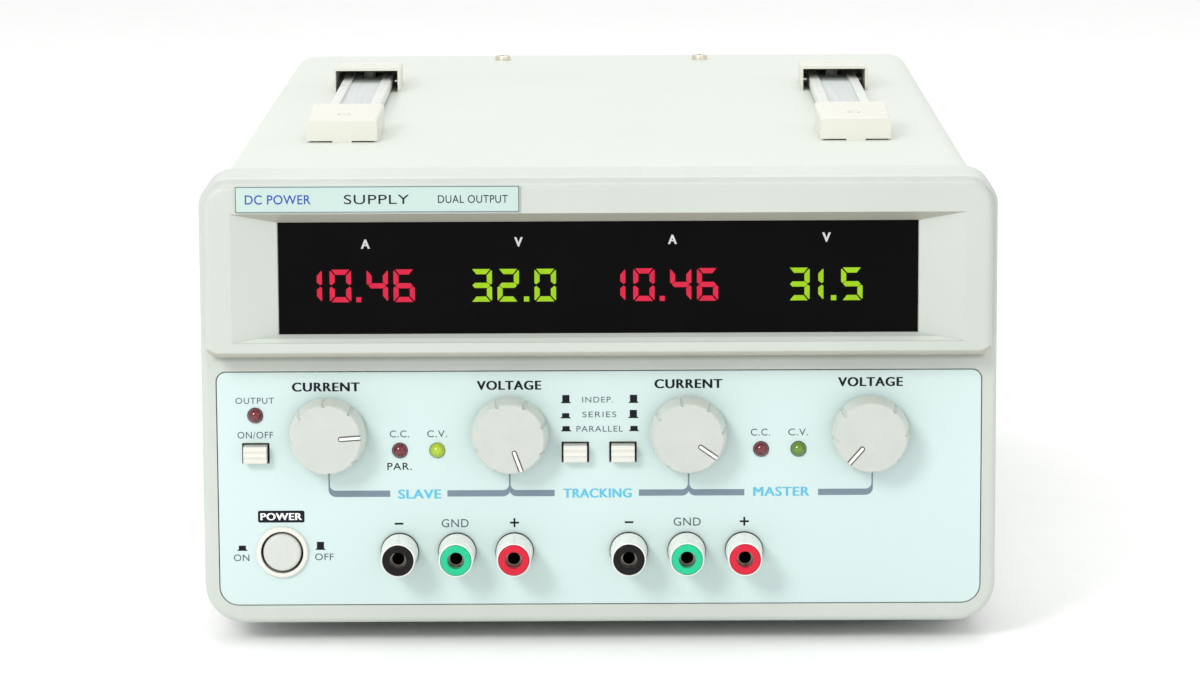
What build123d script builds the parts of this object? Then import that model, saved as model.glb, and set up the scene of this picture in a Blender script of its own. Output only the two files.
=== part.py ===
from build123d import *
import os
from math import sin, cos, radians, degrees, atan2, pi

# Dual-output linear bench power supply.
# Millimetres, +Z up, +X to the right of a person facing the controls,
# +Y towards the back. The origin is the middle of the footprint, at the
# height of the table that the rubber feet stand on.

os.makedirs("parts", exist_ok=True)

# ---------------------------------------------------------------- dimensions
FOOT_H = 7.0                 # rubber feet
CASE_W = 255.0               # width over the front frame
CASE_H = 145.0               # height of the front frame
PANEL_Y = -191.0             # outer face of the control panel
FRAME_D = 26.0               # depth of the front frame
FRAME_R_TOP = 9.5
FRAME_R_BOT = 13.0
FRAME_WALL = 3.5
FACE_T = 4.0                 # thickness of the frame's face plate

BLOCK_W = 250.0              # display bezel, standing proud of the panel
BLOCK_D = 12.0
BLOCK_Z0 = 89.0
BLOCK_Z1 = 144.6
RECESS_W, RECESS_Z0, RECESS_Z1 = 232.8, 93.7, 135.1
WIN_W, WIN_Z0, WIN_Z1 = 203.2, 95.9, 131.8
RECESS_D = 5.0
PANE_T = 2.0

PANEL_W, PANEL_Z0, PANEL_Z1 = 245.0, 6.3, 82.4
PANEL_T = 2.0

KNOB_X = [-87.0, -28.6, 28.6, 87.0]
KNOB_Z = 62.2
KNOB_TURN = [86.0, 160.0, 125.0, 221.0]     # pointer, clockwise from the top
KNOB_R0, KNOB_R1, KNOB_L = 12.4, 11.15, 11.0
KNOB_BACK = 2.8              # gap between the panel and the back of a knob
SHAFT_R = 3.0

LED_POS = {"output": (-110.3, 68.4), "slave_cc": (-64.0, 56.8), "slave_cv": (-52.0, 56.8),
           "master_cc": (52.0, 56.8), "master_cv": (64.0, 56.8)}
LED_R = 2.45

PUSH_X = [-110.3, -7.65, 7.65]
PUSH_Z = 56.05
PUSH_W, PUSH_H = 7.5, 5.4
PUSH_HOLE_W, PUSH_HOLE_H = 8.8, 6.7
PUSH_OUT = 4.5

POWER_X, POWER_Z = -102.3, 23.7

POST_X = [-64.4, -45.9, -27.4, 9.4, 28.0, 46.5]
POST_NAMES = ["slave_negative", "slave_ground", "slave_positive",
              "master_negative", "master_ground", "master_positive"]
POST_Z = 23.7
POST_L = 15.0
SOCKET_R = 2.0               # 4 mm plug
SOCKET_FRONT = 11.2          # socket mouth, in front of the panel
SOCKET_DEPTH = 20.0

COVER_W = 248.0
COVER_TOP = 143.8
COVER_T = 1.2
COVER_R = 9.0
COVER_Y0 = PANEL_Y + FRAME_D + 0.3
COVER_Y1 = PANEL_Y + 395.0
PAN_T = 1.2
PAN_HALF = 122.4
REAR_Y0, REAR_Y1 = 199.0, 200.5

HANDLE_X = 87.6
HANDLE_Y0 = PANEL_Y + 105.0
HANDLE_Y1 = PANEL_Y + 300.5
CAP_L = 38.0
STRAP_W, STRAP_T, STRAP_GAP = 18.4, 3.3, 1.1

FAN_X, FAN_Z, FAN_SIZE, FAN_T = -20.0, 82.0, 80.0, 25.0
INLET_X, INLET_Z = 88.0, 51.0

Z0 = FOOT_H                  # underside of the case


def front(y):
    """Plane at depth y that faces the user: x to the right, y up."""
    return Plane.XZ.offset(-y)


def level(z):
    """Horizontal plane at height z."""
    return Plane.XY.offset(z)


# ------------------------------------------------------------- front frame
with BuildPart() as front_frame:
    with BuildSketch(front(PANEL_Y)) as sk:
        with Locations((0, Z0 + CASE_H / 2)):
            Rectangle(CASE_W, CASE_H)
        fillet(sk.vertices().sort_by(Axis.Y)[-2:], FRAME_R_TOP)
        fillet(sk.vertices().sort_by(Axis.Y)[:2], FRAME_R_BOT)
    extrude(amount=-FRAME_D)
    fillet(front_frame.faces().sort_by(Axis.Y)[0].edges(), 2.2)
    # hollow behind the face plate
    with BuildSketch(front(PANEL_Y + FACE_T)):
        with Locations((0, Z0 + CASE_H / 2)):
            RectangleRounded(CASE_W - 2 * FRAME_WALL, CASE_H - 6.0, 6.5)
    extrude(amount=-(FRAME_D - FACE_T), mode=Mode.SUBTRACT)
    # rebate that the control panel drops into
    with BuildSketch(front(PANEL_Y)) as sk:
        with Locations((0, Z0 + (PANEL_Z0 + PANEL_Z1) / 2)):
            Rectangle(PANEL_W + 0.6, PANEL_Z1 - PANEL_Z0 + 0.6)
        fillet(sk.vertices().sort_by(Axis.Y)[-2:], 3.3)
        fillet(sk.vertices().sort_by(Axis.Y)[:2], 6.3)
    extrude(amount=-PANEL_T, mode=Mode.SUBTRACT)
    # openings through the face plate
    with BuildSketch(front(PANEL_Y + PANEL_T)):
        with Locations((0, Z0 + (PANEL_Z0 + PANEL_Z1) / 2)):
            RectangleRounded(237.0, 69.0, 3.0)
    extrude(amount=-FACE_T, mode=Mode.SUBTRACT)
    with BuildSketch(front(PANEL_Y)):
        with Locations((0, Z0 + (WIN_Z0 + WIN_Z1) / 2)):
            RectangleRounded(232.0, 44.0, 3.0)
    extrude(amount=-FACE_T, mode=Mode.SUBTRACT)
    # screw posts in the four corners
    with BuildSketch(front(PANEL_Y + FACE_T - 0.5)):
        with Locations((-117.5, Z0 + 9.5), (117.5, Z0 + 9.5), (-117.5, Z0 + 134.5), (117.5, Z0 + 134.5)):
            Circle(4.2)
    extrude(amount=-(FRAME_D - FACE_T + 0.8))
    with BuildSketch(front(PANEL_Y + FRAME_D + 0.3)):
        with Locations((-117.5, Z0 + 9.5), (117.5, Z0 + 9.5), (-117.5, Z0 + 134.5), (117.5, Z0 + 134.5)):
            Circle(1.55)
    extrude(amount=12.0, mode=Mode.SUBTRACT)
front_frame.part.label = "front_frame"
export_step(front_frame.part, "parts/front_frame.step")

# ------------------------------------------------------------ display bezel
with BuildPart() as display_bezel:
    with BuildSketch(front(PANEL_Y)) as sk:
        with Locations((0, Z0 + (BLOCK_Z0 + BLOCK_Z1) / 2)):
            Rectangle(BLOCK_W, BLOCK_Z1 - BLOCK_Z0)
        fillet(sk.vertices().sort_by(Axis.Y)[-2:], 8.0)
        fillet(sk.vertices().sort_by(Axis.Y)[:2], 4.0)
    extrude(amount=BLOCK_D)
    fillet(display_bezel.faces().sort_by(Axis.Y)[0].edges(), 2.2)
    # bevelled recess, from the face down to the pane
    with BuildSketch(front(PANEL_Y - BLOCK_D)):
        with Locations((0, Z0 + (RECESS_Z0 + RECESS_Z1) / 2)):
            Rectangle(RECESS_W, RECESS_Z1 - RECESS_Z0)
    with BuildSketch(front(PANEL_Y - BLOCK_D + RECESS_D)):
        with Locations((0, Z0 + (WIN_Z0 + WIN_Z1) / 2)):
            Rectangle(WIN_W, WIN_Z1 - WIN_Z0)
    loft(mode=Mode.SUBTRACT)
    # seat for the pane, open to the back
    with BuildSketch(front(PANEL_Y - BLOCK_D + RECESS_D)):
        with Locations((0, Z0 + (WIN_Z0 + WIN_Z1) / 2)):
            Rectangle(208.4, 40.4)
    extrude(amount=-(BLOCK_D - RECESS_D), mode=Mode.SUBTRACT)
    # hollow back
    with BuildSketch(front(PANEL_Y - 4.8)):
        with Locations((0, Z0 + (BLOCK_Z0 + BLOCK_Z1) / 2)):
            RectangleRounded(BLOCK_W - 7.0, BLOCK_Z1 - BLOCK_Z0 - 7.0, 3.0)
    extrude(amount=-4.8, mode=Mode.SUBTRACT)
    # posts for the display board
    with BuildSketch(front(PANEL_Y - 5.3)):
        with Locations((-108, Z0 + 99.85), (108, Z0 + 99.85), (-108, Z0 + 127.85), (108, Z0 + 127.85)):
            Circle(2.6)
    extrude(amount=-7.8)
display_bezel.part.label = "display_bezel"
export_step(display_bezel.part, "parts/display_bezel.step")

# smoked pane in front of the readouts
with BuildPart() as display_window:
    with BuildSketch(front(PANEL_Y - BLOCK_D + RECESS_D)):
        with Locations((0, Z0 + (WIN_Z0 + WIN_Z1) / 2)):
            Rectangle(208.0, 40.0)
    extrude(amount=-PANE_T)
display_window.part.label = "display_window"
export_step(display_window.part, "parts/display_window.step")

# printed plate stuck along the top left of the bezel
with BuildPart() as nameplate:
    with BuildSketch(front(PANEL_Y - BLOCK_D)):
        with Locations((-69.65, Z0 + 139.85)):
            RectangleRounded(89.9, 8.5, 0.4)
    extrude(amount=0.8)
nameplate.part.label = "nameplate"
export_step(nameplate.part, "parts/nameplate.step")

# ------------------------------------------------------------ control panel
with BuildPart() as control_panel:
    with BuildSketch(front(PANEL_Y)) as sk:
        with Locations((0, Z0 + (PANEL_Z0 + PANEL_Z1) / 2)):
            Rectangle(PANEL_W, PANEL_Z1 - PANEL_Z0)
        fillet(sk.vertices().sort_by(Axis.Y)[-2:], 3.0)
        fillet(sk.vertices().sort_by(Axis.Y)[:2], 6.0)
        with Locations(*[(x, Z0 + KNOB_Z) for x in KNOB_X]):
            Circle(3.6, mode=Mode.SUBTRACT)
        with Locations(*[(x, Z0 + z) for x, z in LED_POS.values()]):
            Circle(2.55, mode=Mode.SUBTRACT)
        with Locations(*[(x, Z0 + PUSH_Z) for x in PUSH_X]):
            Rectangle(PUSH_HOLE_W, PUSH_HOLE_H, mode=Mode.SUBTRACT)
        with Locations((POWER_X, Z0 + POWER_Z)):
            Circle(7.6, mode=Mode.SUBTRACT)
        with Locations(*[(x, Z0 + POST_Z) for x in POST_X]):
            Circle(4.0, mode=Mode.SUBTRACT)
    extrude(amount=-PANEL_T)
control_panel.part.label = "control_panel"
export_step(control_panel.part, "parts/control_panel.step")

# ---------------------------------------------------------------- top cover
with BuildPart() as top_cover:
    with BuildSketch(front(COVER_Y0)) as sk:
        with Locations((0, Z0 + (3.0 + COVER_TOP) / 2)):
            Rectangle(COVER_W, COVER_TOP - 3.0)
        fillet(sk.vertices().sort_by(Axis.Y)[-2:], COVER_R)
    extrude(amount=-(COVER_Y1 - COVER_Y0))
    with BuildSketch(front(COVER_Y0 - 1)) as sk:
        with Locations((0, Z0 + COVER_TOP / 2 - COVER_T)):
            Rectangle(COVER_W - 2 * COVER_T, COVER_TOP)
        fillet(sk.vertices().sort_by(Axis.Y)[-2:], COVER_R - COVER_T)
    extrude(amount=-(COVER_Y1 - COVER_Y0 + 2), mode=Mode.SUBTRACT)
    # louvre slots through both side walls
    with BuildSketch(Plane.YZ.offset(130)):
        with Locations((70, Z0 + 74)):
            with GridLocations(9.0, 42.0, 16, 2):
                SlotOverall(32.0, 4.0, rotation=90)
    extrude(amount=-260, mode=Mode.SUBTRACT)
    # holes for the rear top screws and for the handle screws
    with BuildSketch(level(Z0 + COVER_TOP + 1)):
        with Locations((-39.3, PANEL_Y + 378), (39.3, PANEL_Y + 378)):
            Circle(1.7)
        with Locations(*[(sx * HANDLE_X, y) for sx in (-1, 1) for y in (HANDLE_Y0 + 13, HANDLE_Y1 - 13)]):
            Circle(1.7)
    extrude(amount=-4, mode=Mode.SUBTRACT)
    # holes for the side screws
    with BuildSketch(Plane.YZ.offset(130)):
        with Locations((-130, Z0 + 14), (175, Z0 + 14)):
            Circle(1.7)
    extrude(amount=-260, mode=Mode.SUBTRACT)
top_cover.part.label = "top_cover"
export_step(top_cover.part, "parts/top_cover.step")

# -------------------------------------------------------------- chassis pan
PAN_Y0, PAN_Y1 = COVER_Y0, 198.9
BOARD_Y0, BOARD_Y1 = -46.0, 34.0
FEET = [(-98, -140), (98, -140), (-98, 165), (98, 165)]
BOARD_POSTS = [(x, y) for x in (-104, 0, 104) for y in (-40, 28)]
with BuildPart() as chassis_pan:
    with BuildSketch(level(Z0)):
        with Locations((0, (PAN_Y0 + PAN_Y1) / 2)):
            Rectangle(2 * PAN_HALF, PAN_Y1 - PAN_Y0)
    extrude(amount=PAN_T)
    # side flanges
    with BuildSketch(level(Z0)):
        with Locations((-PAN_HALF + PAN_T / 2, (PAN_Y0 + PAN_Y1) / 2), (PAN_HALF - PAN_T / 2, (PAN_Y0 + PAN_Y1) / 2)):
            Rectangle(PAN_T, PAN_Y1 - PAN_Y0)
    extrude(amount=24.0)
    # front and rear flanges
    with BuildSketch(level(Z0)):
        with Locations((0, PAN_Y0 + PAN_T / 2), (0, PAN_Y1 - PAN_T / 2)):
            Rectangle(2 * PAN_HALF, PAN_T)
    extrude(amount=20.0)
    # pressed standoffs under the main board
    with BuildSketch(level(Z0 + PAN_T - 0.2)):
        with Locations(*BOARD_POSTS):
            Circle(4.0)
    extrude(amount=11.0)
    # air slots in the floor
    with BuildSketch(level(Z0 - 1)):
        with Locations((0, 105)):
            with GridLocations(9.0, 1.0, 13, 1):
                SlotOverall(60.0, 4.0, rotation=90)
    extrude(amount=4.0, mode=Mode.SUBTRACT)
    # screw holes: feet, frame posts, rear panel, sides
    with BuildSketch(level(Z0 - 1)):
        with Locations(*FEET):
            Circle(1.7)
    extrude(amount=4.0, mode=Mode.SUBTRACT)
    with BuildSketch(front(PAN_Y0 - 1)):
        with Locations((-117.5, Z0 + 9.5), (117.5, Z0 + 9.5)):
            Circle(1.7)
    extrude(amount=-4.0, mode=Mode.SUBTRACT)
    with BuildSketch(front(PAN_Y1 + 1)):
        with Locations((-100, Z0 + 12), (100, Z0 + 12)):
            Circle(1.7)
    extrude(amount=4.0, mode=Mode.SUBTRACT)
    with BuildSketch(Plane.YZ.offset(130)):
        with Locations((-130, Z0 + 14), (175, Z0 + 14)):
            Circle(1.7)
    extrude(amount=-260, mode=Mode.SUBTRACT)
chassis_pan.part.label = "chassis_pan"
export_step(chassis_pan.part, "parts/chassis_pan.step")

# --------------------------------------------------------------- rear panel
REAR_Z0, REAR_Z1 = 1.4, 142.4
INLET_SCREW = 27.3
with BuildPart() as rear_panel:
    with BuildSketch(front(REAR_Y1)) as sk:
        with Locations((0, Z0 + (REAR_Z0 + REAR_Z1) / 2)):
            Rectangle(2 * 122.3, REAR_Z1 - REAR_Z0)
        fillet(sk.vertices().sort_by(Axis.Y)[-2:], 7.4)
        with Locations((FAN_X, Z0 + FAN_Z)):
            Circle(38.2, mode=Mode.SUBTRACT)
            with GridLocations(71.5, 71.5, 2, 2):
                Circle(2.2, mode=Mode.SUBTRACT)
        with Locations((INLET_X, Z0 + INLET_Z)):
            Rectangle(28.4, 48.4, mode=Mode.SUBTRACT)
        with Locations((INLET_X, Z0 + INLET_Z - INLET_SCREW), (INLET_X, Z0 + INLET_Z + INLET_SCREW)):
            Circle(1.6, mode=Mode.SUBTRACT)
        with Locations((-100, Z0 + 12), (100, Z0 + 12)):
            Circle(1.6, mode=Mode.SUBTRACT)
        # air slots beside the fan
        with Locations((-92, Z0 + 82)):
            with GridLocations(1.0, 9.0, 1, 9):
                SlotOverall(34.0, 4.0, mode=Mode.SUBTRACT)
        with Locations((72, Z0 + 108)):
            with GridLocations(1.0, 9.0, 1, 5):
                SlotOverall(64.0, 4.0, mode=Mode.SUBTRACT)
    extrude(amount=REAR_Y1 - REAR_Y0)
    # flange that takes the rear top screws
    with BuildSketch(level(Z0 + REAR_Z1)):
        with Locations((0, (178 + REAR_Y1) / 2)):
            Rectangle(120.0, REAR_Y1 - 178)
        with Locations((-39.3, PANEL_Y + 378), (39.3, PANEL_Y + 378)):
            Circle(1.6, mode=Mode.SUBTRACT)
    extrude(amount=-1.5)
rear_panel.part.label = "rear_panel"
export_step(rear_panel.part, "parts/rear_panel.step")

# ------------------------------------------------------------------ handles
CAP_W0, CAP_H0 = 23.8, 7.3
CAP_W1, CAP_H1 = 25.2, 9.0
COVER_Z = Z0 + COVER_TOP


def end_cap(cx, cy, sign):
    """Hood over one end of a strap: closed at cy, open towards sign * Y."""
    def at(d):
        return Plane(origin=(cx, cy + sign * d, COVER_Z), x_dir=(1, 0, 0), z_dir=(0, -1, 0))
    with BuildPart() as cap:
        with BuildSketch(at(0)) as a:
            with Locations((0, CAP_H0 / 2)):
                Rectangle(CAP_W0, CAP_H0)
            fillet(a.vertices().sort_by(Axis.Y)[-2:], 1.2)
        with BuildSketch(at(CAP_L)) as b:
            with Locations((0, CAP_H1 / 2)):
                Rectangle(CAP_W1, CAP_H1)
            fillet(b.vertices().sort_by(Axis.Y)[-2:], 1.2)
        loft()
        with BuildSketch(at(1.2)):
            with Locations((0, CAP_H0 / 2 - 1.0)):
                Rectangle(CAP_W0 - 2.0, CAP_H0)
        with BuildSketch(at(CAP_L + 0.4)):
            with Locations((0, CAP_H1 / 2 - 1.0)):
                Rectangle(CAP_W1 - 2.0, CAP_H1)
        loft(mode=Mode.SUBTRACT)
        # shadow gap under the closed end, either side of a middle tab
        with BuildSketch(at(-1)):
            with Locations((-8.6, 0), (8.6, 0)):
                Rectangle(10.6, 1.0)
        extrude(amount=-sign * 2.2, mode=Mode.SUBTRACT)
        # boss that passes through the strap and takes the screw
        with BuildSketch(Plane.XY.offset(COVER_Z)):
            with Locations((cx, cy + sign * 13)):
                Circle(2.4)
        extrude(amount=6.9)
        with BuildSketch(Plane.XY.offset(COVER_Z)):
            with Locations((cx, cy + sign * 13)):
                Circle(3.8)
        extrude(amount=0.8)
        with BuildSketch(Plane.XY.offset(COVER_Z)):
            with Locations((cx, cy + sign * 13)):
                Circle(1.55)
        extrude(amount=5.2, mode=Mode.SUBTRACT)
        # shallow thumb mark on the roof
        with BuildSketch(Plane.XY.offset(COVER_Z + 12)):
            with Locations((cx, cy + sign * 15)):
                Circle(2.3)
                Circle(1.7, mode=Mode.SUBTRACT)
        extrude(amount=-4.4, mode=Mode.SUBTRACT)
    return cap.part


cap_parts = [end_cap(sx * HANDLE_X, y, s) for sx in (-1, 1) for y, s in ((HANDLE_Y0, 1), (HANDLE_Y1, -1))]
with BuildPart() as handle_end_caps:
    add(cap_parts)
handle_end_caps.part.label = "handle_end_caps"
export_step(handle_end_caps.part, "parts/handle_end_caps.step")


def strap(cx):
    """Flat carrying strap with two raised edges and a slot at each end."""
    y0, y1 = HANDLE_Y0 + 4.0, HANDLE_Y1 - 4.0
    with BuildPart() as s:
        with BuildSketch(Plane.XZ.offset(-y0)) as p:
            with Locations((cx, COVER_Z + STRAP_GAP + STRAP_T / 2)):
                Rectangle(STRAP_W, STRAP_T)
            fillet(p.vertices().sort_by(Axis.Y)[-2:], 0.8)
            with Locations((cx, COVER_Z + STRAP_GAP + STRAP_T)):
                Rectangle(11.0, 1.6, mode=Mode.SUBTRACT)
        extrude(amount=-(y1 - y0))
        with BuildSketch(Plane.XY.offset(COVER_Z)):
            with Locations((cx, HANDLE_Y0 + 13), (cx, HANDLE_Y1 - 13)):
                SlotOverall(12.0, 6.0, rotation=90)
        extrude(amount=8.0, mode=Mode.SUBTRACT)
    return s.part


with BuildPart() as left_handle_strap:
    add(strap(-HANDLE_X))
left_handle_strap.part.label = "left_handle_strap"
export_step(left_handle_strap.part, "parts/left_handle_strap.step")

with BuildPart() as right_handle_strap:
    add(strap(HANDLE_X))
right_handle_strap.part.label = "right_handle_strap"
export_step(right_handle_strap.part, "parts/right_handle_strap.step")

# --------------------------------------------------------------------- feet
with BuildPart() as rubber_feet:
    with BuildSketch(level(0)):
        with Locations(*FEET):
            Circle(8.0)
    extrude(amount=FOOT_H, taper=-5)
    with BuildSketch(level(0)):
        with Locations(*FEET):
            Circle(3.6)
    extrude(amount=4.4, mode=Mode.SUBTRACT)
    with BuildSketch(level(0)):
        with Locations(*FEET):
            Circle(1.7)
    extrude(amount=FOOT_H, mode=Mode.SUBTRACT)
rubber_feet.part.label = "rubber_feet"
export_step(rubber_feet.part, "parts/rubber_feet.step")


# ------------------------------------------------------------------- screws
def screw(seat, direction, length=7.0):
    """Pan-head M3 screw; seat is under the head, direction points outwards."""
    p = Plane(origin=seat, z_dir=direction)
    with BuildPart() as s:
        with BuildSketch(p):
            Circle(3.1)
        extrude(amount=1.8)
        fillet(s.faces().filter_by(GeomType.PLANE).sort_by_distance(Vector(seat) + Vector(direction) * 50)[0].edges(), 0.9)
        with BuildSketch(p.offset(1.8)):
            Rectangle(3.6, 0.8)
            Rectangle(0.8, 3.6)
        extrude(amount=-1.0, mode=Mode.SUBTRACT)
        with BuildSketch(p):
            Circle(1.5)
        extrude(amount=-length)
    return s.part


screws = []
for sx in (-1, 1):
    screws.append(screw((sx * 39.3, PANEL_Y + 378, Z0 + COVER_TOP), (0, 0, 1)))
    for y in (-130, 175):
        screws.append(screw((sx * COVER_W / 2, y, Z0 + 14), (sx, 0, 0)))
    for y in (HANDLE_Y0 + 13, HANDLE_Y1 - 13):
        screws.append(screw((sx * HANDLE_X, y, Z0 + COVER_TOP - COVER_T), (0, 0, -1), 6.0))
    screws.append(screw((sx * 117.5, PAN_Y0 + PAN_T, Z0 + 9.5), (0, 1, 0)))
    screws.append(screw((sx * 100, REAR_Y1, Z0 + 12), (0, 1, 0)))
for x, y in FEET:
    screws.append(screw((x, y, 4.4), (0, 0, -1), 9.0))
for dz in (-INLET_SCREW, INLET_SCREW):
    screws.append(screw((INLET_X, 203.0, Z0 + INLET_Z + dz), (0, 1, 0), 8.0))
for dx in (-35.75, 35.75):
    for dz in (-35.75, 35.75):
        screws.append(screw((FAN_X + dx, 202.1, Z0 + FAN_Z + dz), (0, 1, 0), 24.0))
with BuildPart() as case_screws:
    add(screws)
case_screws.part.label = "case_screws"
export_step(case_screws.part, "parts/case_screws.step")


# ------------------------------------------------- knobs, shafts, and pots
def dial(x, z, theta):
    """Plane on the panel whose x points where the knob's pointer points."""
    t = radians(theta)
    return Plane(origin=(x, PANEL_Y, z), x_dir=(sin(t), 0, cos(t)), z_dir=(0, -1, 0))


def knob(x, theta):
    p = dial(x, Z0 + KNOB_Z, theta)
    with BuildPart() as k:
        with BuildSketch(p.offset(KNOB_BACK)):
            Circle(KNOB_R0)
        with BuildSketch(p.offset(KNOB_L)):
            Circle(KNOB_R1)
        loft()
        fillet(k.faces().sort_by(Axis.Y)[0].edges(), 0.45)
        # hollow that clears the bush nut, then the shaft bore
        with BuildSketch(p.offset(KNOB_BACK)):
            Circle(8.2)
        extrude(amount=2.2, mode=Mode.SUBTRACT)
        with BuildSketch(p.offset(4.0)):
            Circle(SHAFT_R + 0.02)
        extrude(amount=5.1, mode=Mode.SUBTRACT)
        # seven flutes, 45 degrees apart, in line with the pointer
        slope = (KNOB_R0 - KNOB_R1) / (KNOB_L - KNOB_BACK)
        for i in range(1, 8):
            a = radians(45 * i)
            radial = p.x_dir * cos(a) + p.y_dir * sin(a)
            start = p.origin + radial * (KNOB_R0 + 0.12 + slope * KNOB_BACK) + p.z_dir * 0.0
            axis = (p.z_dir - radial * slope).normalized()
            with BuildSketch(Plane(origin=start, z_dir=axis)):
                Circle(0.62)
            extrude(amount=18.0, mode=Mode.SUBTRACT)
        # raised pointer in a fine groove
        with BuildSketch(p.offset(KNOB_L)):
            with Locations((7.9, 0)):
                SlotOverall(8.2, 1.75)
        extrude(amount=-0.35, mode=Mode.SUBTRACT)
        with BuildSketch(p.offset(KNOB_L - 0.4)):
            with Locations((7.6, 0)):
                SlotOverall(6.9, 0.85)
        extrude(amount=0.7)
    return k.part


def shaft(x, theta):
    p = dial(x, Z0 + KNOB_Z, theta)
    with BuildPart() as s:
        with BuildSketch(p.offset(9.0)):
            Circle(SHAFT_R)
        extrude(amount=-16.7)
    return s.part


with BuildPart() as slave_current_knob:
    add(knob(KNOB_X[0], KNOB_TURN[0]))
slave_current_knob.part.label = "slave_current_knob"
export_step(slave_current_knob.part, "parts/slave_current_knob.step")

with BuildPart() as slave_voltage_knob:
    add(knob(KNOB_X[1], KNOB_TURN[1]))
slave_voltage_knob.part.label = "slave_voltage_knob"
export_step(slave_voltage_knob.part, "parts/slave_voltage_knob.step")

with BuildPart() as master_current_knob:
    add(knob(KNOB_X[2], KNOB_TURN[2]))
master_current_knob.part.label = "master_current_knob"
export_step(master_current_knob.part, "parts/master_current_knob.step")

with BuildPart() as master_voltage_knob:
    add(knob(KNOB_X[3], KNOB_TURN[3]))
master_voltage_knob.part.label = "master_voltage_knob"
export_step(master_voltage_knob.part, "parts/master_voltage_knob.step")

with BuildPart() as slave_current_shaft:
    add(shaft(KNOB_X[0], KNOB_TURN[0]))
slave_current_shaft.part.label = "slave_current_shaft"
export_step(slave_current_shaft.part, "parts/slave_current_shaft.step")

with BuildPart() as slave_voltage_shaft:
    add(shaft(KNOB_X[1], KNOB_TURN[1]))
slave_voltage_shaft.part.label = "slave_voltage_shaft"
export_step(slave_voltage_shaft.part, "parts/slave_voltage_shaft.step")

with BuildPart() as master_current_shaft:
    add(shaft(KNOB_X[2], KNOB_TURN[2]))
master_current_shaft.part.label = "master_current_shaft"
export_step(master_current_shaft.part, "parts/master_current_shaft.step")

with BuildPart() as master_voltage_shaft:
    add(shaft(KNOB_X[3], KNOB_TURN[3]))
master_voltage_shaft.part.label = "master_voltage_shaft"
export_step(master_voltage_shaft.part, "parts/master_voltage_shaft.step")

# potentiometer cans with their threaded bushes
with BuildPart() as potentiometers:
    with BuildSketch(front(PANEL_Y + PANEL_T)):
        with Locations(*[(x, Z0 + KNOB_Z) for x in KNOB_X]):
            Circle(8.2)
    extrude(amount=-9.0)
    with BuildSketch(front(PANEL_Y + PANEL_T)):
        with Locations(*[(x, Z0 + KNOB_Z) for x in KNOB_X]):
            Circle(3.5)
    extrude(amount=5.6)
    with BuildSketch(front(PANEL_Y - 4.0)):
        with Locations(*[(x, Z0 + KNOB_Z) for x in KNOB_X]):
            Circle(SHAFT_R + 0.06)
    extrude(amount=-12.5, mode=Mode.SUBTRACT)
potentiometers.part.label = "potentiometers"
export_step(potentiometers.part, "parts/potentiometers.step")

# ---------------------------------------------------------------- terminals
# moulded bushes that insulate the posts from the panel
with BuildPart() as terminal_bushes:
    with BuildSketch(front(PANEL_Y)):
        with Locations(*[(x, Z0 + POST_Z) for x in POST_X]):
            Circle(6.2)
    extrude(amount=1.0)
    with BuildSketch(front(PANEL_Y)):
        with Locations(*[(x, Z0 + POST_Z) for x in POST_X]):
            Circle(3.9)
    extrude(amount=-PANEL_T)
    with BuildSketch(front(PANEL_Y + PANEL_T)):
        with Locations(*[(x, Z0 + POST_Z) for x in POST_X]):
            Circle(6.0)
    extrude(amount=-4.0)
    with BuildSketch(front(PANEL_Y - 1.0)):
        with Locations(*[(x, Z0 + POST_Z) for x in POST_X]):
            Circle(3.02)
    extrude(amount=-8.0, mode=Mode.SUBTRACT)
terminal_bushes.part.label = "terminal_bushes"
export_step(terminal_bushes.part, "parts/terminal_bushes.step")

# nickel-plated posts, bored for a 4 mm plug
with BuildPart() as terminal_studs:
    with BuildSketch(front(PANEL_Y - SOCKET_FRONT)):
        with Locations(*[(x, Z0 + POST_Z) for x in POST_X]):
            Circle(3.0)
    extrude(amount=-30.0)
    with BuildSketch(front(PANEL_Y - SOCKET_FRONT)):
        with Locations(*[(x, Z0 + POST_Z) for x in POST_X]):
            Circle(SOCKET_R)
    extrude(amount=-SOCKET_DEPTH, mode=Mode.SUBTRACT)
terminal_studs.part.label = "terminal_studs"
export_step(terminal_studs.part, "parts/terminal_studs.step")

# hex nuts: four on the potentiometer bushes, six on the posts
with BuildPart() as panel_nuts:
    with BuildSketch(front(PANEL_Y)):
        with Locations(*[(x, Z0 + KNOB_Z) for x in KNOB_X]):
            RegularPolygon(5.0, 6, major_radius=False)
            Circle(3.55, mode=Mode.SUBTRACT)
    extrude(amount=2.0)
    with BuildSketch(front(PANEL_Y + PANEL_T + 4.0)):
        with Locations(*[(x, Z0 + POST_Z) for x in POST_X]):
            RegularPolygon(5.0, 6, major_radius=False)
            Circle(3.02, mode=Mode.SUBTRACT)
    extrude(amount=-3.0)
panel_nuts.part.label = "panel_nuts"
export_step(panel_nuts.part, "parts/panel_nuts.step")


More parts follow.
